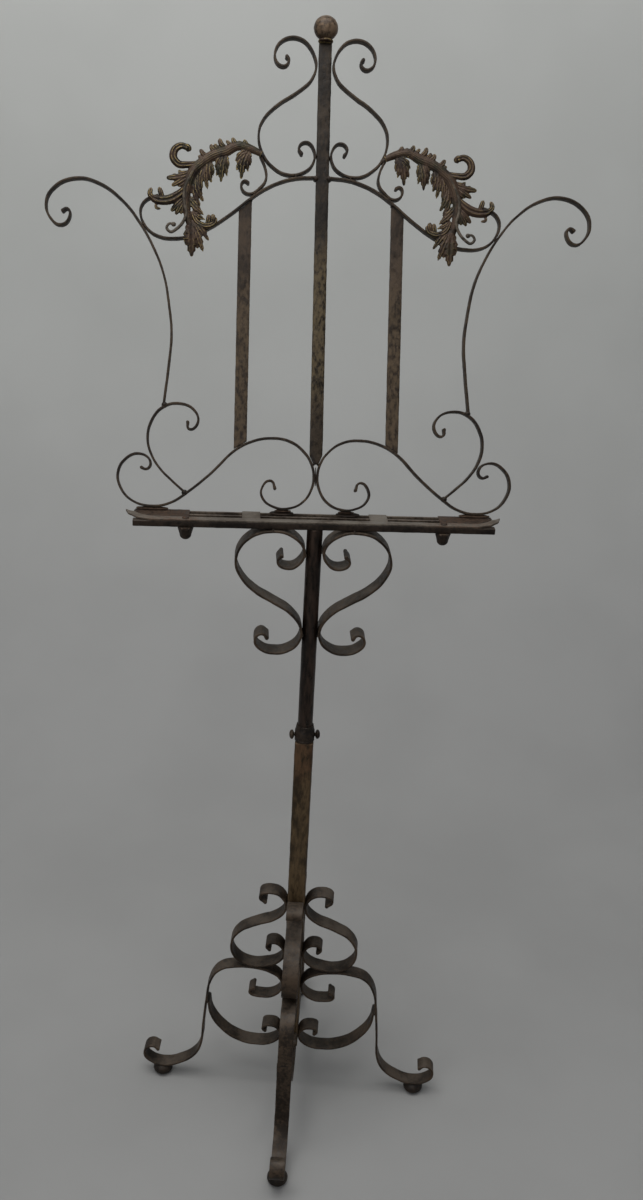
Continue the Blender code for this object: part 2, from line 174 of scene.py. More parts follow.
def sideways(node, sign):
    """How near to the post's axis and how far from it a sideways node reaches, and its radius."""
    low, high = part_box(node)
    near, far = sorted(((low.x - POST[0]) * sign, (high.x - POST[0]) * sign))
    return near, far, (high.z - low.z) / 2


def rim(node, plane):
    """The outline of a flat CAD piece, in order round its front face."""
    mesh = frame["nodes"][node].data
    flat = plane.flatten([vertex.co for vertex in mesh.vertices])
    in_front = flat[:, 2] > flat[:, 2].max() - 0.02 * MM
    keys = [tuple(key) for key in np.round(flat[:, :2] / (0.002 * MM)).astype(int)]
    places = dict(zip(keys, flat[:, :2]))
    uses = Counter()
    for polygon in mesh.polygons:
        if all(in_front[index] for index in polygon.vertices):
            ring = [keys[index] for index in polygon.vertices]
            uses.update(frozenset(pair) for pair in zip(ring, ring[1:] + ring[:1]))
    neighbours = defaultdict(list)
    for edge, count in uses.items():
        if count == 1 and len(edge) == 2:
            a, b = edge
            neighbours[a].append(b)
            neighbours[b].append(a)
    start = min(neighbours)
    ring, previous, here = [start], None, start
    while True:
        ahead = [key for key in neighbours[here] if key != previous][0]
        if ahead == start:
            return np.array([places[key] for key in ring])
        ring.append(ahead)
        previous, here = here, ahead


def nearest_on(run, place):
    """The nearest place on a run of straight stretches."""
    start, stretch = run[:-1], np.diff(run, axis=0)
    share = ((place - start) * stretch).sum(1) / (stretch**2).sum(1)
    found = start + np.clip(share, 0, 1)[:, None] * stretch
    return found[np.argmin(((found - place) ** 2).sum(1))]


def middle_line(ring):
    """The middle line of a bent flat bar, between the two long sides of its outline."""
    arriving = ring - np.roll(ring, 1, axis=0)
    leaving = np.roll(ring, -1, axis=0) - ring
    cosine = (arriving * leaving).sum(1)
    cosine /= np.linalg.norm(arriving, axis=1) * np.linalg.norm(leaving, axis=1)
    corners = np.sort(np.argsort(cosine)[:4])
    ring = np.roll(ring, -corners[0], axis=0)
    ring = np.vstack([ring, ring[:1]])
    stops = [*(corners - corners[0]), len(ring) - 1]
    runs = [ring[a : b + 1] for a, b in zip(stops, stops[1:])]
    runs.sort(key=lambda run: np.linalg.norm(np.diff(run, axis=0), axis=1).sum())
    side, other = runs[-1], runs[-2]
    return Line([(place + nearest_on(other, place)) / 2 for place in side])


# ---- Making meshes ----


def hammered(points, directions, depth, size=HAMMER_SIZE):
    """Moves points in and out along their directions, as a hammered surface lies."""
    if not depth:
        return points
    moved = points.copy()
    for index, (point, direction) in enumerate(zip(points, directions)):
        broad = noise.noise(Vector(point / size))
        fine = noise.noise(Vector(point / (size * 0.37) + 7))
        moved[index] += direction * depth * (broad + 0.45 * fine)
    return moved


def linked(name, data):
    obj = bpy.data.objects.new(name, data)
    bpy.context.scene.collection.objects.link(obj)
    return obj


def closed_object(name, shell):
    """An object in the scene made of a shell, with its faces pointing out."""
    points, faces = shell
    mesh = bpy.data.meshes.new(name)
    mesh.from_pydata([tuple(point) for point in points], [], faces)
    shape = bmesh.new()
    shape.from_mesh(mesh)
    bmesh.ops.recalc_face_normals(shape, faces=shape.faces)
    shape.to_mesh(mesh)
    shape.free()
    return linked(name, mesh)


def evaluated(obj):
    """A new mesh of an object with its modifiers applied."""
    graph = bpy.context.evaluated_depsgraph_get()
    return bpy.data.meshes.new_from_object(obj.evaluated_get(graph))


def add_piece(name, shell, material, node, stands_for=True):
    """Makes a piece that rides with a CAD node and, mostly, stands for it."""
    obj = closed_object(name, shell)
    obj.data.shade_smooth()
    obj.data.materials.append(material)
    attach(obj, *body_of(frame["nodes"][node]))
    if stands_for:
        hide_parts(node)
    PIECES[name] = np.array(shell[0])
    return obj


def ring_faces(rows, columns, bored=False):
    """Faces that join rings of points one after another, with a cap on each end or a bore through."""
    faces = []
    for row in range(rows if bored else rows - 1):
        here, there = row * columns, (row + 1) % rows * columns
        for column in range(columns):
            after = (column + 1) % columns
            faces.append((here + column, here + after, there + after, there + column))
    if not bored:
        last = (rows - 1) * columns
        faces += [tuple(range(columns))[::-1], tuple(range(last, last + columns))]
    return faces


def around(count):
    """Evenly spaced angles of a full turn."""
    return np.linspace(0, 2 * math.pi, count, endpoint=False)


def arc(radius_x, radius_z, start, end, steps, centre=0.0, x=0.0):
    """Places (radius, height) round an elliptic arc, in degrees."""
    angles = np.radians(np.linspace(start, end, steps + 1))
    return [(x + radius_x * math.cos(a), centre + radius_z * math.sin(a)) for a in angles]


def bar_section(wide, deep, corner, spacing=SECTION_STEP, steps=3):
    """A rectangle with rounded corners: places (along the plane, out of it) and directions."""
    places, directions = [], []
    inner = np.array([wide / 2, deep / 2]) - corner
    quarters = ((1, 1), (-1, 1), (-1, -1), (1, -1))
    for index, signs in enumerate(quarters):
        centre, following = inner * signs, inner * quarters[(index + 1) % 4]
        for step in range(steps + 1):
            angle = math.radians(90 * index + 90 * step / steps)
            direction = np.array([math.cos(angle), math.sin(angle)])
            places.append(centre + corner * direction)
            directions.append(direction)
        count = int(((deep, wide)[(index + 1) % 2] - 2 * corner) / spacing)
        for step in range(1, count):
            share = step / count
            places.append(centre * (1 - share) + following * share + corner * direction)
            directions.append(direction)
    return np.array(places), np.array(directions)


def swept(plane, line, wide, deep, out, grain, corner=EDGE_ROUND, taper=((0, 1), (1, 1)), slant=(0, 0),
          upset=(0, 0)):
    """Shell of a bar along a line on a plane, with rounded edges and ends.

    taper is (shares of the bar's length, shares of its full width there). slant is how far the cut at
    each end leans, as distance along the bar for each distance across it. upset is how much thicker
    the bar is forged at each end, as a share, and such an end is rounded.
    """
    places, directions = bar_section(wide, deep, corner)
    reach = wide * (1 + max(upset)) / 2 if max(upset) else corner
    inner = np.linspace(reach, line.length - reach, max(3, int(line.length / ROW_STEP)))
    ends = np.array([0, 0.04, 0.14, 0.3, 0.5, 0.75] if max(upset) else [0, 0.12, 0.45]) * reach
    distances = np.concatenate([ends, inner, line.length - ends[::-1]])
    to_end = np.minimum(distances, line.length - distances)
    inset = corner - np.sqrt(np.clip(corner**2 - np.clip(corner - to_end, 0, None) ** 2, 0, None))
    points, tangents = line.at(distances)
    normals = np.stack([-tangents[:, 1], tangents[:, 0]], 1)
    rows, outward = [], []
    half = np.array([wide, deep]) / 2
    for distance, point, tangent, normal, trim in zip(distances, points, tangents, normals, inset):
        share = distance / line.length
        size = np.array([np.interp(share, *taper), 1.0])
        for more, gap in zip(upset, (distance, line.length - distance)):
            size[0] += more * math.exp(-((gap / UPSET_LENGTH) ** 2))
            if more and gap < reach:
                size[0] *= math.sqrt(max(0.05, 1 - (1 - gap / reach) ** 2))
        ring = places * (size * (half - trim) / half)
        lean = ring[:, 0] * (slant[0] * (1 - share) + slant[1] * share)
        flat = point + np.outer(ring[:, 0], normal) + np.outer(lean, tangent)
        rows.append(np.column_stack([flat, ring[:, 1] + out]))
        outward.append(np.column_stack([np.outer(directions[:, 0], normal), directions[:, 1]]))
    world = plane.stand_up(np.vstack(rows))
    return hammered(world, np.vstack(outward) @ plane.axes, grain), ring_faces(len(rows), len(places))


def turned(origin, axis, profile, sides=48, grain=0.0, size=HAMMER_SIZE, section=np.ones_like, bored=False):
    """Shell of a turned piece: a profile of (radius, height), from one pole to the other.

    section gives the radius's share at each angle, for a piece that isn't round. The profile of a
    bored piece is a closed ring.
    """
    axis = np.array(axis, float)
    helper = ACROSS if abs(axis[0]) < 0.9 else DEEP
    first = np.cross(helper, axis)
    first /= np.linalg.norm(first)
    second = np.cross(axis, first)
    angles = around(sides)
    spokes = np.outer(np.cos(angles), first) + np.outer(np.sin(angles), second)
    wide = spokes * section(angles)[:, None]
    points = np.vstack([origin + axis * height + wide * radius for radius, height in profile])
    points = hammered(points, np.tile(spokes, (len(profile), 1)), grain, size)
    return points, ring_faces(len(profile), sides, bored)


def joined(*shells):
    """Several shells as one."""
    points, faces, count = [], [], 0
    for shell_points, shell_faces in shells:
        points.append(shell_points)
        faces += [tuple(index + count for index in face) for face in shell_faces]
        count += len(shell_points)
    return np.vstack(points), faces


# ---- Materials ----


class Shader:
    """A Principled material whose node graph is built by short calls."""

    def __init__(self, name, metallic=0.35):
        self.material = bpy.data.materials.new(name)
        self.material.use_nodes = True
        self.tree = self.material.node_tree
        self.surface = self.tree.nodes["Principled BSDF"]
        self.surface.inputs["Metallic"].default_value = metallic
        self.surface.inputs["Specular IOR Level"].default_value = 0.28
        self.place = self.node("ShaderNodeTexCoord").outputs["Object"]
        self.geometry = self.node("ShaderNodeNewGeometry").outputs

    def node(self, kind, **inputs):
        made = self.tree.nodes.new(kind)
        for key, value in inputs.items():
            self.put(made.inputs[key.replace("_", " ")], value)
        return made

    def put(self, socket, value):
        if isinstance(value, bpy.types.NodeSocket):
            self.tree.links.new(value, socket)
        elif isinstance(value, tuple) and len(value) == 3 and socket.type == "RGBA":
            socket.default_value = (*value, 1.0)
        else:
            socket.default_value = value

    def noise(self, size, detail=4.0, roughness=0.55, stretch=None):
        """Noise whose patches are about size across."""
        place = self.place
        if stretch:
            place = self.node("ShaderNodeMapping", Vector=place, Scale=stretch).outputs["Vector"]
        made = self.node("ShaderNodeTexNoise", Vector=place, Scale=1 / size, Detail=detail)
        self.put(made.inputs["Roughness"], roughness)
        return made.outputs["Fac"]

    def ramp(self, factor, low, high, start=0.0, end=1.0):
        """Factor's stretch from low to high, mapped to start to end with soft ends."""
        made = self.node(
            "ShaderNodeMapRange", Value=factor, From_Min=low, From_Max=high, To_Min=start, To_Max=end
        )
        made.interpolation_type = "SMOOTHSTEP"
        return made.outputs["Result"]

    def maths(self, operation, a, b=0.5):
        made = self.node("ShaderNodeMath")
        made.operation = operation
        self.put(made.inputs[0], a)
        self.put(made.inputs[1], b)
        return made.outputs["Value"]

    def times(self, a, b):
        return self.maths("MULTIPLY", a, b)

    def mix(self, factor, a, b):
        made = self.node("ShaderNodeMix")
        made.data_type = "RGBA"
        for key, value in (("Factor", factor), ("A", a), ("B", b)):
            self.put(made.inputs[key], value)
        return made.outputs["Result"]

    def part(self, vector, axis):
        """One of a vector's three parts, X, Y or Z."""
        return self.node("ShaderNodeSeparateXYZ", Vector=vector).outputs[axis]

    def edges(self, low, high):
        """Raised spots and edges, or hollows if low is above high."""
        return self.ramp(self.geometry["Pointiness"], low, high)

    def bump(self, height, distance, strength, below=None):
        made = self.node("ShaderNodeBump", Height=height, Distance=distance, Strength=strength)
        if below:
            self.put(made.inputs["Normal"], below)
        return made.outputs["Normal"]

    def clear_from_behind(self):
        """Lets a camera behind the surface look through it."""
        camera = self.node("ShaderNodeLightPath").outputs["Is Camera Ray"]
        blend = self.node("ShaderNodeMixShader", Fac=self.times(self.geometry["Backfacing"], camera))
        self.put(blend.inputs[1], self.surface.outputs["BSDF"])
        self.put(blend.inputs[2], self.node("ShaderNodeBsdfTransparent").outputs["BSDF"])
        self.put(self.tree.nodes["Material Output"].inputs["Surface"], blend.outputs["Shader"])

    def done(self, colour, roughness, normal):
        for key, value in (("Base Color", colour), ("Roughness", roughness), ("Normal", normal)):
            self.put(self.surface.inputs[key], value)
        return self.material


BROAD = 34 * MM  # sizes of the paint's clouds, mottles, specks and dents
MOTTLE = 4.5 * MM
SPECK = 1.1 * MM
DENT = 6 * MM
# colour laid on upward faces: partly settled dust, partly painted light from above
DUST_AND_TOP_LIGHT = (0.12, 0.11, 0.095)
RUST = (0.13, 0.055, 0.025)
UPRIGHT_GRAIN = (1.0, 1.0, 0.3)  # draws the mottles out along an upright bar


def worn_paint(name, dark, light, worn, wear=0.5, dust_and_top_light=0.15, gloss=0.5, patch=None, rubbing=0.3,
               metallic=0.25, rust=None, stretch=None):
    """Old bronze paint on forged iron: mottled, rubbed on its edges, and lighter where it faces up, partly
    dust and partly painted light from above.

    dark and light are the mottles' colours, worn is the rubbed edges' colour and wear its strength.
    gloss is the middle roughness. patch is (axis, from, to): the stretch of the piece, by its distance
    from the object's middle, where the paint is rubbed through to rust, and rubbing is how strongly.
    stretch squeezes the mottles along each axis.
    """
    shader = Shader(name, metallic)
    broad = shader.noise(BROAD, 3, stretch=stretch)
    mottle = shader.noise(MOTTLE, 5, 0.65, stretch=stretch)
    speck = shader.noise(SPECK, 3, 0.7)
    tone = shader.maths("ADD", shader.times(broad, 0.5), shader.times(mottle, 0.5))
    colour = shader.mix(shader.ramp(tone, 0.41, 0.6), dark, light)
    edge = shader.times(shader.edges(0.52, 0.6), shader.ramp(mottle, 0.36, 0.6))
    colour = shader.mix(shader.times(edge, wear), colour, worn)
    chips = shader.times(shader.ramp(speck, 0.6, 0.68), shader.ramp(broad, 0.45, 0.6))
    colour = shader.mix(shader.times(chips, 0.55 * wear), colour, worn)
    if patch:
        axis, start, end = patch
        here = shader.maths("ABSOLUTE", shader.part(shader.place, axis))
        away = shader.maths("ABSOLUTE", shader.maths("SUBTRACT", here, (start + end) / 2))
        near = shader.ramp(shader.maths("DIVIDE", away, (end - start) / 2), 1.0, 0.35)
        rubbed = shader.times(near, shader.ramp(mottle, 0.34, 0.62))
        colour = shader.mix(shader.times(rubbed, rubbing), colour, rust or worn)
    # Upward faces made lighter: partly settled dust, partly painted light from above.
    upward = shader.part(shader.geometry["Normal"], "Z")
    dust_and_top_light_mask = shader.times(shader.ramp(upward, 0.35, 1.0), shader.ramp(broad, 0.3, 0.7))
    colour = shader.mix(shader.times(dust_and_top_light_mask, dust_and_top_light), colour, DUST_AND_TOP_LIGHT)
    roughness = shader.ramp(mottle, 0.3, 0.7, gloss - 0.12, gloss + 0.18)
    dents = shader.bump(shader.noise(DENT, 4), 0.6 * MM, 0.8)
    return shader.done(colour, roughness, shader.bump(speck, 0.14 * MM, 0.6, dents))


BRONZE = worn_paint("bronze_paint", (0.0115, 0.0075, 0.0046), (0.05, 0.034, 0.0205), (0.16, 0.105, 0.055),
    0.6)
BASE_PAINT = worn_paint("base_paint", (0.0175, 0.0118, 0.0076), (0.071, 0.048, 0.031), (0.15, 0.108, 0.068),
    0.5, 0.3, 0.48)
DARK_IRON = worn_paint("dark_iron", (0.0085, 0.0062, 0.0045), (0.03, 0.0205, 0.014), (0.095, 0.065, 0.042),
    0.4, 0.2, 0.48)
# Its mottles are drawn out up the tube; the light streaks in its colour are partly painted highlight.
TUBE_PAINT = worn_paint("tube_paint", (0.007, 0.0047, 0.0032), (0.042, 0.0255, 0.0175), (0.12, 0.08, 0.055),
    0.5, 0.12, 0.36, stretch=(1.0, 1.0, 0.22))
LOWER_TUBE_PAINT = worn_paint("lower_tube_paint", (0.032, 0.021, 0.0105), (0.122, 0.08, 0.04),
    (0.14, 0.1, 0.055), 0.4, 0.2, 0.46, patch=("Z", 0.57, 0.69), rubbing=0.42, rust=(0.12, 0.05, 0.026),
    stretch=UPRIGHT_GRAIN)
LEDGE_PAINT = worn_paint("ledge_paint", (0.06, 0.047, 0.036), (0.135, 0.112, 0.088), (0.22, 0.18, 0.14),
    0.4, 0.65, 0.55, patch=("X", 0.13, 0.25), rubbing=0.4, metallic=0.12, rust=RUST)
END_PAINT = worn_paint("ledge_end_paint", (0.012, 0.0078, 0.0054), (0.042, 0.028, 0.0195),
    (0.11, 0.075, 0.05), 0.5, 0.06, 0.55, patch=("X", 0.02, 0.26), rubbing=0.2, metallic=0.12, rust=RUST)
THIN_BAR_PAINT = worn_paint("thin_bar_paint", (0.03, 0.021, 0.015), (0.11, 0.084, 0.062), (0.18, 0.145, 0.11),
    0.6, 0.35, 0.5)
BRONZE_BAR = worn_paint("rubbed_bronze", (0.0085, 0.0058, 0.0038), (0.034, 0.0235, 0.0145),
    (0.2, 0.15, 0.075), 0.5, 0.1, 0.42, patch=("Z", 1.08, 1.34), rubbing=0.34, stretch=UPRIGHT_GRAIN)
SIDE_BRONZE = worn_paint("side_bronze", (0.0205, 0.0138, 0.0092), (0.058, 0.04, 0.0265), (0.17, 0.12, 0.065),
    0.45, 0.1, 0.48, patch=("Z", 1.0, 1.3), rubbing=0.28, stretch=UPRIGHT_GRAIN)
BALL_PAINT = worn_paint("ball_paint", (0.036, 0.0235, 0.0145), (0.16, 0.108, 0.068), (0.3, 0.22, 0.13),
    0.7, 0.1, 0.38)
RUSTED = worn_paint("rusted_iron", (0.018, 0.01, 0.006), (0.068, 0.036, 0.021), (0.15, 0.068, 0.03),
    0.6, 0.12, 0.6, metallic=0.12)
# Rust painted far lighter than rust: painted light on the ledge welds, which lie in the scrolls' shade.
WELD_RUST_PAINTED_LIGHT = worn_paint("weld_rust_painted_light", (0.09, 0.058, 0.04), (0.26, 0.175, 0.12), (0.34, 0.22, 0.15),
    0.6, 0.2, 0.6, metallic=0.1)
RAIL_PAINT = worn_paint("rail_paint", (0.0095, 0.0065, 0.0045), (0.034, 0.0225, 0.0155), (0.09, 0.055, 0.032),
    0.5, 0.2, 0.48)
PATINA = worn_paint("leaf_patina", (0.032, 0.026, 0.018), (0.1, 0.08, 0.06), (0.22, 0.18, 0.11),
    0.5, 0.12, 0.5)

# near black laid in the leaf's hollows as painted shade
HOLLOW_SHADE = (0.005, 0.0035, 0.0025)
DARK_LEAF = (0.013, 0.0078, 0.005)
BROWN_LEAF = (0.052, 0.031, 0.0195)
GREEN_LEAF = (0.018, 0.019, 0.009)
OLD_GOLD = (0.46, 0.34, 0.14)


def gilt_leaf():
    """Cast leaf: dark brown paint, painted shade in its hollows, old gold on its ridges and dark green in
    places.
    """
    shader = Shader("gilt_leaf", 0.3)
    mottle = shader.noise(3 * MM, 4, 0.65)
    colour = shader.mix(shader.ramp(shader.noise(16 * MM, 3), 0.38, 0.6), DARK_LEAF, BROWN_LEAF)
    green = shader.ramp(shader.noise(24 * MM, 2), 0.5, 0.62)
    colour = shader.mix(shader.times(green, 0.6), colour, GREEN_LEAF)
    left = shader.noise(9 * MM, 3)
    rubbed = shader.times(shader.ramp(mottle, 0.3, 0.55), shader.ramp(left, 0.36, 0.54))
    gilding = shader.ramp(shader.part(shader.place, "X"), -0.05, 0.05, 1.0, 0.55)
    ridge = shader.times(shader.times(shader.edges(0.51, 0.55), rubbed), gilding)
    colour = shader.mix(shader.times(ridge, 0.95), colour, OLD_GOLD)
    # Painted shade: near black in the leaf's hollows.
    colour = shader.mix(shader.times(shader.edges(0.495, 0.44), 0.85), colour, HOLLOW_SHADE)
    roughness = shader.ramp(mottle, 0.3, 0.7, 0.36, 0.6)
    return shader.done(colour, roughness, shader.bump(mottle, 0.25 * MM, 0.5))


GILT = gilt_leaf()


# ---- Bars ----

CURL_REACH = 45 * MM  # stretch of a bar's end over which its curl is judged
STRAIGHT_STEP = 12 * MM  # between two places of a straight bar's line
CUT_ANGLE = math.radians(38)  # sharper edges than this stay sharp on a carved piece


def forge(node, plane, line, wide, material, **options):
    """Sweeps a bar along its line, as deep as its CAD node."""
    low, high = size_in(node, plane)
    deep = high[2] - low[2]
    BAR_OUT["forged_" + node] = (plane.axes[2], deep)
    shell = swept(plane, line, wide, deep, (low[2] + high[2]) / 2, **options)
    return add_piece("forged_" + node, shell, material, node)


def starts_in_curl(line):
    """Whether the bar's first end is the one that curls more tightly."""
    reach = min(CURL_REACH, line.length / 3)
    chords = [line.at([start, start + reach])[0] for start in (0, line.length - reach)]
    spans = [np.linalg.norm(chord[1] - chord[0]) for chord in chords]
    return spans[0] < spans[1]


def bent_bar(node, plane, material, grain=0.18 * MM, upset=(0, 0)):
    """A flat bar bent in a plane, along the middle line of its CAD node."""
    ring = rim(node, plane)
    line = middle_line(ring)
    ring = np.vstack([ring, ring[:1]])
    gaps = [np.linalg.norm(nearest_on(ring, place) - place) for place in line.places[3:-3]]
    if upset[0] != upset[1] and not starts_in_curl(line):
        upset = upset[::-1]
    forge(node, plane, line, 2 * float(np.median(gaps)), material, grain=grain, upset=upset)
    low, high = size_in(node, plane)
    for place in line.places[[0, -1]]:
        BAR_ENDS["forged_" + node].append(plane.stand_up([*place, (low[2] + high[2]) / 2]))


def straight_bar(node, plane, material, grain=0.22 * MM, corner=0.9 * MM):
    """A straight bar or plate with square or slanting ends, from its CAD node's outline."""
    ring = rim(node, plane)
    low, high = size_in(node, plane)
    long = int(np.argmax((high - low)[:2]))
    cross = 1 - long
    wide = high[cross] - low[cross]
    ends, slants = [], []
    for sign in (-1, 1):
        here = ring[ring[:, long] * sign > (low[long] + high[long]) / 2 * sign]
        sides = []
        for side in (low[cross], high[cross]):
            near = here[np.abs(here[:, cross] - side) < 0.1 * MM]
            sides.append(sign * (near[:, long] * sign).max())
        ends.append((sides[0] + sides[1]) / 2)
        slants.append((sides[1] - sides[0]) / wide * (-1 if long else 1))
    places = np.zeros((max(3, int((ends[1] - ends[0]) / STRAIGHT_STEP)), 2))
    places[:, long] = np.linspace(*ends, len(places))
    places[:, cross] = (low[cross] + high[cross]) / 2
    return forge(node, plane, Line(places), wide, material, corner=corner, grain=grain, slant=slants)


def carved(obj, cutters):
    """Cuts shells out of a piece."""
    for shell in cutters:
        tool = closed_object("cutter", shell)
        cut = obj.modifiers.new("hole", "BOOLEAN")
        cut.object = tool
        cut.solver = "EXACT"
        made = evaluated(obj)
        obj.modifiers.clear()
        obj.data = made
        bpy.data.objects.remove(tool)
    obj.data.set_sharp_from_angle(angle=CUT_ANGLE)


def rod(centre, axis, radius, half_length):
    return turned(centre, axis, [(radius, -half_length), (radius, half_length)], 32)


# ---- Base ----

BORE_LOWER = 10.8 * MM  # radius of the lower tube's and the collar's bore
BORE_UPPER = 8 * MM
TUBE_STEP = 3 * MM  # between two rings of points up a tube
TUBE_CORNER = 3.2 * MM  # rounding of the square tube
TUBE_EDGE = 0.6 * MM  # height of the eased edge at a tube's end
TUBE_EASE = 0.42 * MM  # how far that edge is drawn in
BORE_EDGE = 0.5 * MM
FOOT_LATITUDE = math.radians(58)  # from a bun foot's middle to the edge of its flat pole
FOOT_GROOVE = 0.5 * MM
FORGE_GRAIN = 0.24 * MM  # depth of the hammer marks on the base's bars
BASE_BARS = {"upper_scroll_": (1, 1), "leg_": (1, 1), "brace_": (1, 0)}  # and the upset of their ends


def tube(node, material, section, bore, grain):
    """An upright tube round the post's axis, from the places of its outer section and its bore's radius."""
    _, bottom, top, _ = standing(node)
    outward = section / np.linalg.norm(section, axis=1)[:, None]
    eased = section - TUBE_EASE * np.sign(section)
    rows = [(eased, bottom), (section, bottom + TUBE_EDGE)]
    for height in np.linspace(bottom + 1 * MM, top - 1 * MM, int((top - bottom) / TUBE_STEP)):
        rows.append((section, height))
    rows += [(section, top - TUBE_EDGE), (eased, top)]
    outside = np.tile(np.column_stack([outward, np.zeros(len(outward))]), (len(rows), 1))
    for share, height in ((1.04, top), (1, top - BORE_EDGE), (1, bottom + BORE_EDGE), (1.04, bottom)):
        rows.append((outward * bore * share, height))
    points = np.vstack([np.column_stack([flat, np.full(len(flat), z)]) for flat, z in rows]) + POST
    points[: len(outside)] = hammered(points[: len(outside)], outside, grain, 14 * MM)
    obj = add_piece("forged_" + node, (points, ring_faces(len(rows), len(section), True)), material, node)
    obj.data.set_sharp_from_angle(angle=math.radians(50))


def bun_foot(leg):
    """A turned bun with flat poles and a shallow groove round its middle."""
    _, bottom, top, radius = standing("foot_" + leg)
    height = top - bottom
    middle = height / 2
    bulge = middle / math.sin(FOOT_LATITUDE)
    profile = [(POLE, 0), (radius * 0.3, 0)]
    for angle in np.linspace(-FOOT_LATITUDE, FOOT_LATITUDE, 33):
        groove = FOOT_GROOVE * math.exp(-((angle / 0.07) ** 2))
        profile.append((radius * math.cos(angle) - groove, middle + bulge * math.sin(angle)))
    profile += [(radius * 0.3, height), (POLE, height)]
    foot = np.array(MOUNTS["floor_" + leg]["pos_m"])
    add_piece("turned_foot_" + leg, turned(foot, UPWARD, profile, 56, 0.18 * MM), DARK_IRON, "foot_" + leg)


def build_base():
    """The square tube, turned with the legs, and round it four legs with their scrolls, braces and feet."""
    low, high = size_in("lower_tube", LEG_PLANES["right"])
    side = high[0] - low[0]
    section, _ = bar_section(side, side, TUBE_CORNER, 3 * MM, 5)
    radial = LEG_PLANES["right"].axes[0]
    turn = np.array([[radial[0], radial[1]], [-radial[1], radial[0]]])
    tube("lower_tube", LOWER_TUBE_PAINT, section @ turn, BORE_LOWER, 0.35 * MM)
    for leg in LEGS:
        for node, upset in BASE_BARS.items():
            bent_bar(node + leg, LEG_PLANES[leg], BASE_PAINT, FORGE_GRAIN, upset)
        bun_foot(leg)


# ---- Collar and thumbscrews ----

COLLAR_SIDES = 72
COLLAR_SHOULDER = 0.65  # share of its height where the cone begins
COLLAR_GROOVE = 3.5 * MM  # height of the fine line turned round its foot
THREADS = 5
THREAD_DEPTH = 0.35 * MM
KNOB_LOBES = 5
KNOB_FOOT = 2.6 * MM  # from a knob's foot to its widest place


def build_collar():
    _, bottom, top, radius = standing("collar")
    low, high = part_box("thumbscrew_stud_right")
    centre = POST + UPWARD * (low.z + high.z) / 2
    shoulder = bottom + (top - bottom) * COLLAR_SHOULDER
    groove = bottom + COLLAR_GROOVE
    profile = [(BORE_LOWER, bottom + 0.5 * MM), (BORE_LOWER + 0.5 * MM, bottom), (radius - 0.8 * MM, bottom)]
    profile += [(radius, bottom + 0.8 * MM), (radius, groove - 0.5 * MM), (radius - 0.5 * MM, groove)]
    profile += [(radius, groove + 0.5 * MM), (radius, shoulder - 0.6 * MM), (radius - 0.4 * MM, shoulder)]
    profile += [(BORE_LOWER + 1.2 * MM, top - 0.3 * MM), (BORE_LOWER + 0.7 * MM, top)]
    profile.append((BORE_LOWER, top - 0.4 * MM))
    shell = turned(POST, UPWARD, profile, COLLAR_SIDES, 0.06 * MM, bored=True)
    collar = add_piece("turned_collar", shell, DARK_IRON, "collar")
    carved(collar, [rod(centre, ACROSS, (high.z - low.z) / 2 + 0.2 * MM, 2 * radius)])
    for side, sign in zip(SIDES, (-1, 1)):
        threaded_stud(side, sign, centre)
        lobed_knob(side, sign, centre)


def threaded_stud(side, sign, centre):
    node = "thumbscrew_stud_" + side
    near, far, radius = sideways(node, sign)
    profile = [(POLE, near), (radius - 0.7 * MM, near)]
    for index in range(THREADS * 4 + 1):
        depth = THREAD_DEPTH * (1 - math.cos(2 * math.pi * index / 4)) / 2
        profile.append((radius - depth, near + 0.5 * MM + (far - near - MM) * index / THREADS / 4))
    profile += [(radius - 0.7 * MM, far), (POLE, far)]
    add_piece(node + "_threaded", turned(centre, ACROSS * sign, profile, 32), DARK_IRON, node)


def lobed_knob(side, sign, centre):
    node = "thumbscrew_knob_" + side
    foot, top, radius = sideways(node, sign)
    middle = foot + KNOB_FOOT
    profile = [(POLE, foot), (radius * 0.66, foot)]
    for angle in np.radians(np.linspace(-70, 86, 30)):
        rise = middle - foot if angle < 0 else top - middle
        profile.append((radius * math.cos(angle) ** 0.85, middle + rise * math.sin(angle)))
    profile.append((POLE, top))
    shell = turned(centre, ACROSS * sign, profile, 72, 0.1 * MM, 4 * MM, lobed)
    add_piece(node + "_forged", shell, BRONZE, node)


def lobed(angles):
    """A knob's radius at each angle, as a share of its greatest."""
    return 0.955 + 0.045 * np.cos(KNOB_LOBES * angles)


# ---- Upper post and ledge ----

BOLT_HOLE = 2.8 * MM
BOLT_SHANK = 2.5 * MM
BOLT_HEAD = 2 * MM  # height of a bolt's round head
NUT_SIDES = 72
NUT_SOCKET = 8 * MM  # depth of a cap nut's blind hole
NUT_ROUNDING = 0.62  # share of a cap nut's height where its cone turns into the rounded end
NUT_FOOT = 0.985  # share of its radius that it has below its eased edge
NUT_COLLAR = 0.12  # share of its height above the taper
NUT_TAPER = 0.5  # share of its radius lost for each share of its height
NUT_FLATS = 0.7  # share of its height over which a cap nut's flats fade out
POINT_WIDTH = 0.8 * MM  # of the front bar's swept-back tips
FLAT_SHARE = 0.0001  # share of an outline that closes a flat piece's middle


def build_upper_post():
    _, _, _, radius = standing("upper_tube")
    section = radius * np.stack([np.cos(around(48)), np.sin(around(48))], 1)
    tube("upper_tube", TUBE_PAINT, section, BORE_UPPER, 0.16 * MM)
    for side in SIDES:
        bent_bar("heart_scroll_" + side, FACING, BASE_PAINT, FORGE_GRAIN, (1, 1))


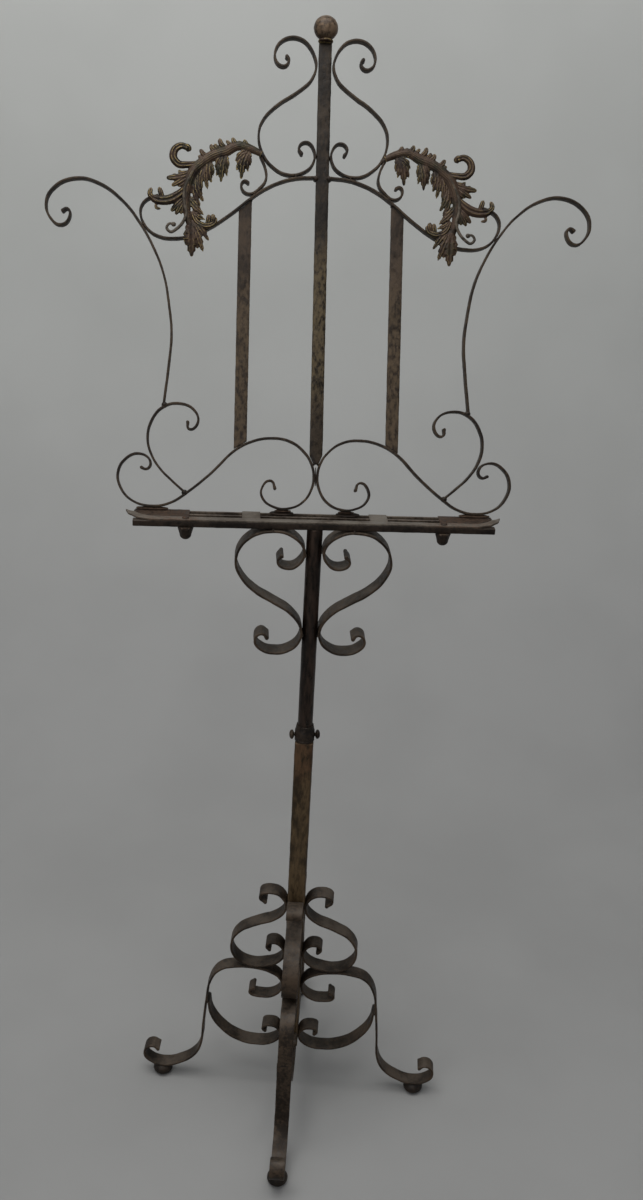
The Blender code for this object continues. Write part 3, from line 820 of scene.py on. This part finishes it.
def ledge_front():
    """The ledge's front bar, whose two ends sweep back to a point."""
    ring = rim("ledge_front_bar", LEVEL)
    first, second = sorted((int(np.argmin(ring[:, 0])), int(np.argmax(ring[:, 0]))))
    sides = [ring[first : second + 1], np.vstack([ring[second:], ring[: first + 1]])]
    sides = sorted((side[np.argsort(side[:, 0])] for side in sides), key=lambda side: side[:, 1].mean())
    across = np.linspace(ring[:, 0].min() + 0.5 * MM, ring[:, 0].max() - 0.5 * MM, 260)
    near, far = [np.interp(across, side[:, 0], side[:, 1]) for side in sides]
    line = Line(np.stack([across, (near + far) / 2], 1))
    widths = (far - near) / np.sqrt(1 + np.gradient(line.places[:, 1], across) ** 2)
    wide = float(np.median(widths))
    taper = (line.distances / line.length, np.maximum(widths, POINT_WIDTH) / wide)
    options = {"corner": 0.7 * MM, "grain": 0.2 * MM, "taper": taper}
    return forge("ledge_front_bar", LEVEL, line, wide, LEDGE_PAINT, **options)


def build_ledge():
    rail = straight_bar("rail", LEVEL, RAIL_PAINT, 0.25 * MM)
    for node in ("ledge_middle_bar", "ledge_back_bar"):
        straight_bar(node, LEVEL, THIN_BAR_PAINT, 0.15 * MM, 0.6 * MM)
    front = ledge_front()
    holes = []
    for side in SIDES:
        low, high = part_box("ledge_bolt_" + side)
        holes.append(rod(np.array((low + high) / 2), UPWARD, BOLT_HOLE, 40 * MM))
        straight_bar("ledge_strap_" + side, LEVEL, LEDGE_PAINT, 0.15 * MM)
        end_plate("end_plate_" + side)
        saddle("desk_pad_" + side)
        ledge_bolt(side)
        cap_nut(side)
    carved(rail, holes)
    carved(front, holes)


def flat_piece(node, outline, edge, grain):
    """A low piece with this outline round its node's middle; edge is (share of outline, share of height)."""
    centre, bottom, top, _ = standing(node)
    rows = [np.column_stack([outline * share, np.full(len(outline), rise)]) for share, rise in edge]
    points = np.vstack(rows) * [1, 1, top - bottom] + [0, 0, bottom] + centre
    points = hammered(points, np.tile(-UPWARD, (len(points), 1)), grain, 8 * MM)
    add_piece("forged_" + node, (points, ring_faces(len(rows), len(outline))), END_PAINT, node)


def end_plate(node):
    """The plate at one end of the ledge, with eased edges and a hammered face."""
    ring = rim(node, LEVEL)
    low, high = size_in(node, LEVEL)
    ring = np.vstack([ring, ring[:1]]) - (low + high)[:2] / 2
    along = np.concatenate([[0], np.cumsum(np.linalg.norm(np.diff(ring, axis=0), axis=1))])
    places = np.union1d(along[:-1], np.linspace(0, along[-1], 90, endpoint=False))
    outline = np.stack([np.interp(places, along, ring[:, axis]) for axis in (0, 1)], 1)
    edge = [(FLAT_SHARE, 0), (0.6, 0), (0.97, 0), (0.99, 0.12), (1, 0.3), (1, 0.7), (0.99, 0.9), (0.97, 1)]
    edge += [(share, 1) for share in np.linspace(0.9, 0.1, 9)] + [(FLAT_SHARE, 1)]
    flat_piece(node, outline, edge, 0.2 * MM)


def saddle(node):
    """An oval pad, rounded over towards the scroll that is welded on it."""
    low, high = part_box(node)
    outline = np.array(high - low)[:2] / 2 * np.stack([np.cos(around(64)), np.sin(around(64))], 1)
    edge = [(FLAT_SHARE, 0), (0.94, 0), (0.99, 0.12), (1, 0.3), (0.98, 0.5), (0.92, 0.7), (0.8, 0.88)]
    edge += [(0.6, 0.98), (0.35, 1), (FLAT_SHARE, 1)]
    flat_piece(node, outline, edge, 0.12 * MM)


def ledge_bolt(side):
    """A plain bolt with a round head."""
    node = "ledge_bolt_" + side
    centre, bottom, top, radius = standing(node)
    head = top - BOLT_HEAD
    profile = [(POLE, bottom), (BOLT_SHANK - 0.4 * MM, bottom), (BOLT_SHANK, bottom + 0.5 * MM)]
    profile += [(BOLT_SHANK, head), (radius - 0.2 * MM, head), *arc(radius, BOLT_HEAD, 5, 86, 12, head)]
    profile.append((POLE, top))
    add_piece(node + "_domed", turned(centre, UPWARD, profile, 40), RUSTED, node)


def cap_nut(side):
    """A tapered cap nut: six flats that fade into a long rounded end, with a blind hole."""
    node = "cap_nut_" + side
    centre, bottom, top, radius = standing(node)
    rows = [(POLE, top - NUT_SOCKET, 0), (BOLT_HOLE, top - NUT_SOCKET, 0), (BOLT_HOLE, top, 0)]
    rows += [(radius * 0.88, top, 0), (radius * 0.97, top - 0.6 * MM, 0.9)]
    rows.append((radius * NUT_FOOT, top - 1.4 * MM, 1))
    for share in np.linspace(NUT_COLLAR, 1, 24):
        size = NUT_FOOT - NUT_TAPER * (min(share, NUT_ROUNDING) - NUT_COLLAR)
        if share > NUT_ROUNDING:
            size *= math.sqrt(max(0.0, 1 - ((share - NUT_ROUNDING) / (1 - NUT_ROUNDING)) ** 2))
        flatness = max(0.0, 1 - share / NUT_FLATS)
        rows.append((max(radius * size, POLE), top - (top - bottom) * share, flatness))
    angles = around(NUT_SIDES)
    spokes = np.stack([np.cos(angles), np.sin(angles), np.zeros(NUT_SIDES)], 1)
    sixth = math.pi / 6
    hexagon = math.cos(sixth) / np.cos(angles % (2 * sixth) - sixth)
    points = []
    for reach, height, flatness in rows:
        size = reach * (1 - flatness + flatness * hexagon)
        points.append(centre + spokes * size[:, None] + UPWARD * height)
    obj = add_piece(node + "_forged", (np.vstack(points), ring_faces(len(rows), NUT_SIDES)), RAIL_PAINT, node)
    obj.data.set_sharp_from_angle(angle=math.radians(40))


# ---- Desk ----

DESK_BARS = {  # how much thicker each bar is forged at its curled end and at its other end
    "top_scroll": (0.6, 0.6), "arch_rail": (0, 0), "small_scroll": (0.4, 0), "arm": (0.6, 0),
    "side_scroll": (0.45, 0), "lower_scroll": (0.45, 0.45),
}


def build_desk():
    for side in SIDES:
        for node, upset in DESK_BARS.items():
            bent_bar(f"{node}_{side}", DESK, BRONZE, upset=upset)
        straight_bar("side_bar_" + side, DESK, SIDE_BRONZE, 0.22 * MM, 0.7 * MM)
        acanthus(side)
    centre_bar()
    straight_bar("scroll_tie", DESK, RUSTED, 0.1 * MM, 0.3 * MM)
    finial_ring()
    finial_ball()


def centre_bar():
    """The thick middle bar, forged to a blunt point at its foot."""
    ring = rim("centre_bar", DESK)
    ring = ring[np.argsort(ring[:, 1])]
    bottom, top = ring[0, 1], ring[-1, 1]
    low, high = size_in("centre_bar", DESK)
    wide, middle = high[0] - low[0], (low[0] + high[0]) / 2
    line = Line([(middle, height) for height in np.linspace(bottom, top, 60)])
    taper = ((ring[:, 1] - bottom) / (top - bottom), np.abs(ring[:, 0] - middle) * 2 / wide)
    forge("centre_bar", DESK, line, wide, BRONZE_BAR, corner=1.1 * MM, grain=0.3 * MM, taper=taper)


def finial_ring():
    low, high = size_in("finial_ring", DESK)
    half = (high[1] - low[1]) / 2
    profile = [(POLE, low[1]), *arc(half, half, -90, 90, 12, low[1] + half, (high[0] - low[0]) / 2 - half)]
    profile.append((POLE, high[1]))
    shell = turned(DESK.origin, DESK.axes[1], profile, 56, 0.06 * MM, 5 * MM)
    add_piece("finial_ring_turned", shell, GILT, "finial_ring")


def finial_ball():
    low, high = size_in("finial_ball", DESK)
    radius = (high[0] - low[0]) / 2
    centre = high[1] - radius
    bottom = math.asin((centre - low[1]) / radius)
    profile = [(POLE, low[1]), (radius * math.cos(bottom) * 0.6, low[1])]
    profile += [(radius * math.cos(a), centre + radius * math.sin(a)) for a in np.linspace(-bottom, 1.55, 48)]
    shell = turned(DESK.origin, DESK.axes[1], profile, 72, 0.22 * MM, 9 * MM)
    add_piece("finial_ball_turned", shell, BALL_PAINT, "finial_ball")


# Cast leaf, left side. Places in millimetres from the leaf's corner by the arch: across, then up.
# A blade is (half width, height of its ridge, lift of its middle, whether its end is pointed, places).
LEAF_STEM = [
    (1, -22), (-13, -16), (-30, -13), (-46, -21), (-62, -27), (-75, -36), (-86, -46), (-92, -58),
    (-95, -71), (-96, -83), (-95, -95), (-93, -107), (-89, -121), (-87, -138),
]
LEAF_RIB = [
    (-62, -28), (-83, -42), (-92, -57), (-98, -73), (-98, -89), (-95, -104), (-98, -113),
    (-106, -123), (-115, -128), (-120, -123), (-116, -117), (-111, -118),
]
LEAF_BLADES = [
    # small lobes on the upper side
    (2.8, 2.2, 1.5, False, [(-14, -15), (-20, -9), (-22, -4)]),
    (2.4, 2.0, 1.5, False, [(-20, -14), (-27, -9), (-29, -6)]),
    (3.0, 2.2, 1.5, False, [(-28, -13), (-35, -8), (-37, -2)]),
    (2.4, 2.0, 1.5, False, [(-36, -14), (-43, -9), (-45, -6)]),
    (3.2, 2.2, 1.5, False, [(-44, -18), (-52, -11), (-54, -4)]),
    (2.6, 2.0, 1.5, False, [(-52, -20), (-58, -15), (-60, -11)]),
    (3.2, 2.2, 1.5, False, [(-56, -24), (-63, -18), (-65, -12)]),
    (3.2, 2.2, 1.5, False, [(-66, -31), (-74, -26), (-79, -19)]),
    (2.6, 2.0, 1.0, False, [(-70, -33), (-78, -30), (-81, -27)]),
    # outer volute and its curled end
    (4.8, 3.4, 2.5, False, [
        (-80, -37), (-94, -40), (-106, -40), (-113, -32), (-111, -21), (-103, -16), (-96, -18), (-94, -24),
    ]),
    (4.2, 3.2, 2.5, False, [(-101, -17), (-94, -19), (-94, -23)]),
    # gilded lobe A
    (4.0, 2.6, 2.0, False, [(-90, -50), (-104, -56), (-122, -58)]),
    (3.4, 2.4, 2.0, False, [(-92, -54), (-104, -62), (-115, -68)]),
    (2.8, 2.4, 2.0, False, [(-93, -49), (-103, -51), (-106, -47)]),
    (2.8, 2.4, 2.0, False, [(-98, -52), (-110, -55), (-113, -52)]),
    (2.8, 2.2, 1.5, False, [(-93, -57), (-101, -65), (-107, -68)]),
    # dark curled lobe B
    (6.0, 3.8, 2.0, False, [(-95, -68), (-104, -78), (-117, -86), (-132, -87), (-144, -82)]),
    (3.2, 3.0, 2.0, False, [(-134, -87), (-142, -81), (-141, -71)]),
    (3.2, 3.0, 2.0, False, [(-126, -87), (-128, -79), (-131, -70)]),
    (2.0, 1.8, 1.0, False, [(-134, -90), (-134, -97), (-128, -98)]),
    # lobe C
    (3.6, 2.4, 1.5, False, [(-97, -82), (-106, -91), (-115, -101)]),
    (3.2, 2.4, 1.5, False, [(-97, -84), (-104, -96), (-109, -105)]),
    (3.0, 2.2, 1.5, False, [(-97, -86), (-101, -97), (-102, -104)]),
    # inner leaflets, each a fan of blades from one root
    (4.6, 2.6, 2.5, True, [(-15, -17), (-22, -32), (-25, -56)]),
    (3.4, 2.2, 2.0, True, [(-16, -18), (-26, -24), (-33, -33)]),
    (3.4, 2.2, 2.0, True, [(-18, -24), (-27, -34), (-31, -45)]),
    (3.2, 2.2, 2.0, True, [(-15, -19), (-15, -28), (-13, -38)]),
    (3.2, 2.2, 2.0, True, [(-18, -26), (-18, -36), (-16, -46)]),
    (4.6, 2.6, 2.5, True, [(-46, -23), (-50, -40), (-51, -61)]),
    (3.2, 2.2, 2.0, True, [(-47, -24), (-54, -32), (-59, -43)]),
    (3.2, 2.2, 2.0, True, [(-49, -32), (-54, -42), (-57, -53)]),
    (3.0, 2.2, 2.0, True, [(-46, -24), (-44, -33), (-42, -44)]),
    (3.0, 2.2, 2.0, True, [(-49, -34), (-46, -43), (-43, -53)]),
    (4.4, 2.6, 2.0, True, [(-66, -33), (-68, -48), (-63, -62)]),
    (3.6, 2.4, 2.0, True, [(-70, -36), (-71, -54), (-68, -71)]),
    (3.4, 2.2, 2.0, True, [(-73, -38), (-77, -58), (-76, -76)]),
    (3.0, 2.2, 1.5, True, [(-66, -34), (-63, -44), (-61, -53)]),
    (4.2, 2.4, 2.0, True, [(-83, -56), (-81, -72), (-73, -87)]),
    (3.4, 2.2, 1.5, True, [(-85, -60), (-84, -78), (-77, -93)]),
    (3.2, 2.2, 1.5, True, [(-80, -50), (-80, -64), (-75, -77)]),
    (3.8, 2.2, 1.5, True, [(-92, -86), (-85, -94), (-72, -104)]),
    (3.2, 2.2, 1.5, True, [(-92, -80), (-86, -88), (-76, -98)]),
    # curled lobe at the foot of the arch
    (3.6, 3.0, 1.5, False, [(-88, -100), (-80, -114), (-69, -118), (-58, -113), (-56, -106)]),
    (3.2, 3.0, 1.5, False, [(-68, -117), (-66, -110), (-66, -103)]),
    (3.0, 2.8, 1.5, False, [(-62, -115), (-60, -108), (-61, -102)]),
    (2.8, 2.2, 1.5, True, [(-88, -100), (-80, -106), (-70, -110)]),
    # bottom leaf
    (7.0, 3.0, 2.0, True, [(-89, -112), (-88, -132), (-87, -159)]),
    (4.4, 2.6, 2.0, True, [(-88, -112), (-80, -130), (-72, -152)]),
    (4.0, 2.4, 2.0, True, [(-86, -112), (-76, -122), (-65, -137)]),
    (3.4, 2.2, 1.5, True, [(-91, -116), (-94, -130), (-96, -143)]),
    (4.0, 2.2, 1.0, True, [(-87, -124), (-82, -138), (-79, -148)]),
]
LEAF_FULLNESS = 1.15  # widens every blade, so that neighbours grow together
LEAF_DEPTH = 8.2  # millimetres in front of the desk's face, as are the rib's and the bud's
RIB_DEPTH = 10.9
BUD_DEPTH = 11.2
BLADE_STEP = 1.1 * MM  # between two sections along a blade
BLADE_END = 0.985  # share of its length where a blade's last section closes it
TOOTH_LENGTH = 8 * MM  # from one tooth of a leaf's edge to the next
TOOTH_ROOT = 0.78  # share of a blade's width at a tooth's root and at its tip
TOOTH_TIP = 1.32
LEAF_VOXEL = 0.6 * MM
RIB_VOXEL = 0.5 * MM
# How wide the stem and the rib are: shares of their length, and of their full width there.
STEM_WIDTHS = ([0, 0.1, 0.3, 0.55, 0.8, 1], [0.55, 0.8, 1.0, 0.95, 0.7, 0.5])
RIB_WIDTHS = ([0, 0.1, 0.5, 0.85, 1], [0.3, 0.8, 1.0, 0.9, 0.7])
# Sections across a blade, the stem and the rib: shares of the half width and of the ridge's height.
LEAF_BACK = [(0.75, -0.4), (0.3, -0.5), (-0.3, -0.5), (-0.75, -0.4)]
BLADE_SECTION = [
    (-1, 0.0), (-0.75, 0.55), (-0.4, 1.0), (-0.14, 0.8), (0, 0.45), (0.14, 0.8), (0.4, 1.0), (0.75, 0.55),
    (1, 0.0), *LEAF_BACK,
]
STEM_SECTION = [
    (-1, 0.0), (-0.86, 0.45), (-0.7, 0.5), (-0.52, 0.82), (-0.36, 0.76), (-0.18, 1.0), (0, 0.86), (0.18, 1.0),
    (0.36, 0.76), (0.52, 0.82), (0.7, 0.5), (0.86, 0.45), (1, 0.0), (0.75, -0.4), (0, -0.5), (-0.75, -0.4),
]
ROUND_SECTION = [(math.cos(a), 0.9 * math.sin(a)) for a in around(16)]


def blade_share(share, pointed):
    """How wide a blade is at a share of its length: narrow root, full middle, and a point or a round end."""
    if not pointed:
        return (0.6 + 0.4 * math.sin(math.pi * min(share, 0.5))) * (1 - share**6) ** 0.5
    return 0.6 + 0.4 * math.sin(math.pi * share / 1.1) if share < 0.55 else ((1 - share) / 0.45) ** 0.6


def blade(sign, corner, half_width, ridge, lift, pointed, places, section=BLADE_SECTION, depth=LEAF_DEPTH,
          widths=None):
    """Shell of one blade of the leaf on the desk's front."""
    flat = np.array([(sign * (corner[0] / MM - across), corner[1] / MM + up) for across, up in places]) * MM
    rough = Line(flat)
    line = Line(rough.at(np.linspace(0, rough.length, 5 * len(flat)))[0])
    shares = np.linspace(0, BLADE_END, max(8, int(line.length / BLADE_STEP)))
    points, tangents = line.at(shares * line.length)
    rows = []
    for share, point, tangent in zip(shares, points, tangents):
        normal = np.array([-tangent[1], tangent[0]])
        size = float(np.interp(share, *widths)) if widths else blade_share(share, pointed)
        wide = half_width * size * MM
        if pointed:
            wide *= TOOTH_ROOT + (TOOTH_TIP - TOOTH_ROOT) * (share * line.length / TOOTH_LENGTH % 1)
        tall = ridge * (0.5 + 0.5 * size) * MM * min(1, 3 * size)
        out = depth * MM + lift * MM * math.sin(math.pi * share)
        rows += [(*(point + normal * wide * x), out + tall * z) for x, z in section]
    return DESK.stand_up(rows), ring_faces(len(shares), len(section))


def cast(name, shells, voxel, material, node, stands_for=True):
    """One casting made from overlapping shells."""
    rough = closed_object("casting", joined(*shells))
    remesh = rough.modifiers.new("fuse", "REMESH")
    remesh.mode = "VOXEL"
    remesh.voxel_size = voxel
    smooth = rough.modifiers.new("soften", "SMOOTH")
    smooth.factor = 0.5
    smooth.iterations = 2
    made = evaluated(rough)
    bpy.data.objects.remove(rough)
    points = np.array([vertex.co for vertex in made.vertices])
    faces = [tuple(polygon.vertices) for polygon in made.polygons]
    add_piece(name, (points, faces), material, node, stands_for)


def acanthus(side):
    """A cast acanthus leaf and, over it, the pale rib that runs down its outer side to a volute."""
    node = "acanthus_" + side
    sign = SIDES.index(side) * 2 - 1
    low, high = size_in(node, DESK)
    corner = (min(abs(low[0]), abs(high[0])), high[1])
    shells = [blade(sign, corner, 7.4, 4.2, 1.0, False, LEAF_STEM, STEM_SECTION, widths=STEM_WIDTHS)]
    shells += [blade(sign, corner, row[0] * LEAF_FULLNESS, *row[1:]) for row in LEAF_BLADES]
    cast("cast_" + node, shells, LEAF_VOXEL, GILT, node)
    rib = blade(sign, corner, 2.3, 2.0, 1.0, False, LEAF_RIB, ROUND_SECTION, RIB_DEPTH, RIB_WIDTHS)
    curl = LEAF_RIB[-1]
    bud = DESK.stand_up([sign * (corner[0] - curl[0] * MM), corner[1] + curl[1] * MM, BUD_DEPTH * MM])
    profile = [(3.2 * MM * math.cos(a), 2.4 * MM * math.sin(a)) for a in np.linspace(-1.5, 1.5, 12)]
    bead = turned(bud, DESK.axes[2], profile, 20)
    cast("acanthus_rib_" + side, [rib, bead], RIB_VOXEL, PATINA, node, stands_for=False)


# ---- Welds ----

WELD_REACH = 1.5 * MM  # how near two bars come where they are welded
WELD_SPACING = 26 * MM
BEAD_RADIUS = 1.9 * MM
BLOB_RADIUS = 4.0 * MM  # where a bar's end stands on another bar
END_REACH = 9 * MM
LEDGE_WELDS = {"end_plate_": (21 * MM, 4.2 * MM), "desk_pad_": (11 * MM, 3.0 * MM)}  # half length, half width
LEDGE_WELD_RISE = 0.5  # how high a ledge weld stands, as a share of half its width


def meeting_places(first, second):
    """Where two pieces come within a weld's reach, on the middle plane of the first one's width."""
    a, b = PIECES[first], PIECES[second]
    low = np.maximum(a.min(0), b.min(0)) - WELD_REACH
    high = np.minimum(a.max(0), b.max(0)) + WELD_REACH
    out = BAR_OUT[first][0]
    middle = (a @ out).min() / 2 + (a @ out).max() / 2
    a = a[((a >= low) & (a <= high)).all(1)]
    b = b[((b >= low) & (b <= high)).all(1)]
    if not len(a) or not len(b):
        return []
    tree = KDTree(len(b))
    for index, point in enumerate(b):
        tree.insert(point, index)
    tree.balance()
    near = []
    for point in a:
        found, _, distance = tree.find(point)
        if distance < WELD_REACH:
            place = (point + np.array(found)) / 2
            near.append((distance, place + out * (middle - place @ out)))
    near.sort(key=lambda pair: pair[0])
    places = []
    for _, point in near:
        if all(np.linalg.norm(point - place) > WELD_SPACING for place in places):
            places.append(point)
    return places


def weld_beads(name, node, pairs):
    """Lumpy weld beads where bars of one body touch, each running across the bars' width."""
    shells = []
    for first, second in pairs:
        out, wide = BAR_OUT[first]
        ends = [] if second.endswith("_tube") else BAR_ENDS[first] + BAR_ENDS[second]
        for place in meeting_places(first, second):
            at_end = any(np.linalg.norm(place - end) < END_REACH for end in ends)
            radius, over = (BLOB_RADIUS, 0.6 * MM) if at_end else (BEAD_RADIUS, 0.3 * MM)
            half = wide / 2 + over
            angles = np.linspace(-1.55, 1.55, 15)
            profile = [(radius * max(0.05, math.cos(a)) ** 0.6, half * math.sin(a)) for a in angles]
            shells.append(turned(place, out, profile, 16, 0.35 * MM, 3 * MM))
    add_piece(name, joined(*shells), DARK_IRON, node, stands_for=False)


def low_oval(angles):
    """A ledge weld's section, from level to upright."""
    return 1 / np.hypot(np.cos(angles) / LEDGE_WELD_RISE, np.sin(angles))


def ledge_welds():
    """Long, low welds where the desk's lower scrolls stand on the ledge."""
    shells = []
    for side in SIDES:
        scroll = PIECES["forged_lower_scroll_" + side]
        for node, (half_length, reach) in LEDGE_WELDS.items():
            low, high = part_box(node + side)
            over = scroll[(scroll[:, 0] > low.x) & (scroll[:, 0] < high.x)]
            lowest = over[over[:, 2] < over[:, 2].min() + 0.4 * MM].mean(0)
            angles = np.linspace(-1.54, 1.54, 41)
            profile = [(reach * math.cos(a) ** 0.8, half_length * math.sin(a)) for a in angles]
            place = np.array([lowest[0], min(lowest[1], high.y - 0.8 * reach), high.z])
            shells.append(turned(place, ACROSS, profile, 24, 0.5 * MM, 5 * MM, low_oval))
    add_piece("welds_ledge", joined(*shells), WELD_RUST_PAINTED_LIGHT, "ledge_middle_bar", stands_for=False)


def build_welds():
    ledge_welds()
    pairs = []
    for leg in LEGS:
        bars = [f"forged_{node}{leg}" for node in BASE_BARS]
        pairs += [(bar, "forged_lower_tube") for bar in bars]
        pairs += [(bars[0], bars[1]), (bars[1], bars[2]), (bars[1], "turned_foot_" + leg)]
    weld_beads("welds_base", "foot_front", pairs)
    pairs = []
    for side in SIDES:
        pairs += [(f"forged_heart_scroll_{side}", f"forged_{other}") for other in ("upper_tube", "rail")]
        bars = [f"forged_{node}_{side}" for node in DESK_BARS]
        for index, first in enumerate(bars):
            others = [*bars[index + 1 :], "forged_centre_bar", f"forged_side_bar_{side}"]
            pairs += [(first, second) for second in others]
    pairs.append(("forged_lower_scroll_left", "forged_lower_scroll_right"))
    weld_beads("welds_upper_stand", "upper_tube", pairs)


# ---- Studio ----

CAMERA_DISTANCE = 1.645  # from the post's axis
CAMERA_AROUND = math.radians(-3.783)
CAMERA_HEIGHT = 1.6504
LOOK_DOWN = math.radians(25.5)
LOOK_ASIDE = math.radians(0.476)
CAMERA_ROLL = math.radians(-3.063)
WALL_BEHIND = 1.5
WALL_HEIGHT = 4.0
FLOOR_FRONT = -4.0
FLOOR_BEND = 0.55  # how far behind the post the floor begins to curve up
HALF_BACKDROP = 5
FLOOR_GREYS = (0.318, 0.318, 0.313), (0.342, 0.342, 0.337)
# the wall's greys are lighter than the floor's: painted light
WALL_GREYS_PAINTED_LIGHTER = (0.525, 0.535, 0.516), (0.555, 0.565, 0.546)


def build_camera():
    data = bpy.data.cameras.new("camera")
    data.sensor_fit = "VERTICAL"
    data.sensor_height = 24
    data.lens = 27
    obj = linked("camera", data)
    heading = CAMERA_AROUND - LOOK_ASIDE
    level = Vector((math.sin(heading), -math.cos(heading), 0))
    back = level * math.cos(LOOK_DOWN) + Vector((0, 0, math.sin(LOOK_DOWN)))
    right = Vector((math.cos(heading), math.sin(heading), 0))
    up = back.cross(right)
    rolled_right = right * math.cos(CAMERA_ROLL) - up * math.sin(CAMERA_ROLL)
    rolled_up = right * math.sin(CAMERA_ROLL) + up * math.cos(CAMERA_ROLL)
    matrix = Matrix((rolled_right, rolled_up, back)).transposed().to_4x4()
    away = Vector((math.sin(CAMERA_AROUND), -math.cos(CAMERA_AROUND), 0)) * CAMERA_DISTANCE
    matrix.translation = Vector(POST) + away + Vector((0, 0, CAMERA_HEIGHT))
    obj.matrix_world = matrix
    bpy.context.scene.camera = obj


def backdrop():
    """A floor that curves up into a wall, of pale grey paper, painted lighter up the wall as painted light.
    """
    bend = WALL_BEHIND - FLOOR_BEND
    profile = [(FLOOR_FRONT, 0.0), (FLOOR_BEND, 0.0)]
    for angle in np.linspace(0.08, math.pi / 2, 20):
        profile.append((FLOOR_BEND + bend * math.sin(angle), bend * (1 - math.cos(angle))))
    profile.append((WALL_BEHIND, WALL_HEIGHT))
    points = [(x, y, z) for y, z in profile for x in (-HALF_BACKDROP, HALF_BACKDROP)]
    faces = [(first, first + 1, first + 3, first + 2) for first in range(0, len(points) - 2, 2)]
    mesh = bpy.data.meshes.new("backdrop")
    mesh.from_pydata(points, [], faces)
    mesh.shade_smooth()
    shader = Shader("backdrop_paper", 0.0)
    mottle = shader.ramp(shader.noise(0.35, 3, 0.5), 0.3, 0.7)
    low, high = [shader.mix(mottle, *greys) for greys in (FLOOR_GREYS, WALL_GREYS_PAINTED_LIGHTER)]
    # Painted light: the paper is lighter up the wall than on the floor.
    colour = shader.mix(shader.ramp(shader.part(shader.place, "Z"), 0.02, 1.15), low, high)
    fibre = shader.bump(shader.noise(3 * MM, 3), 0.1 * MM, 0.3)
    mesh.materials.append(shader.done(colour, 0.95, fibre))
    shader.clear_from_behind()
    linked("backdrop", mesh)


def area_light(name, place, target, size, power, colour=(1, 1, 1)):
    data = bpy.data.lights.new(name, "AREA")
    data.shape = "RECTANGLE"
    data.size, data.size_y = size
    data.energy = power
    data.color = colour
    obj = linked(name, data)
    obj.location = place
    obj.rotation_euler = (Vector(target) - Vector(place)).to_track_quat("-Z", "Y").to_euler()


def build_studio():
    build_camera()
    backdrop()
    area_light("overhead", (-0.5, -0.5, 3.4), (0, 0.2, 0.6), (2.6, 2.2), 46, (1, 0.99, 0.97))
    area_light("front", (-1.6, -3.0, 2.3), (0, 0, 0.8), (1.6, 1.6), 17)
    area_light("wall_wash", (0.0, 0.1, 3.3), (0, WALL_BEHIND, 1.6), (3.0, 0.8), 16)
    world = bpy.data.worlds.new("soft_room")
    world.use_nodes = True
    background = world.node_tree.nodes["Background"]
    background.inputs["Color"].default_value = (0.93, 0.95, 1.0, 1)
    background.inputs["Strength"].default_value = 0.25
    bpy.context.scene.world = world
    bpy.context.scene.view_settings.view_transform = "Standard"


build_base()
build_collar()
build_upper_post()
build_ledge()
build_desk()
build_welds()
build_studio()
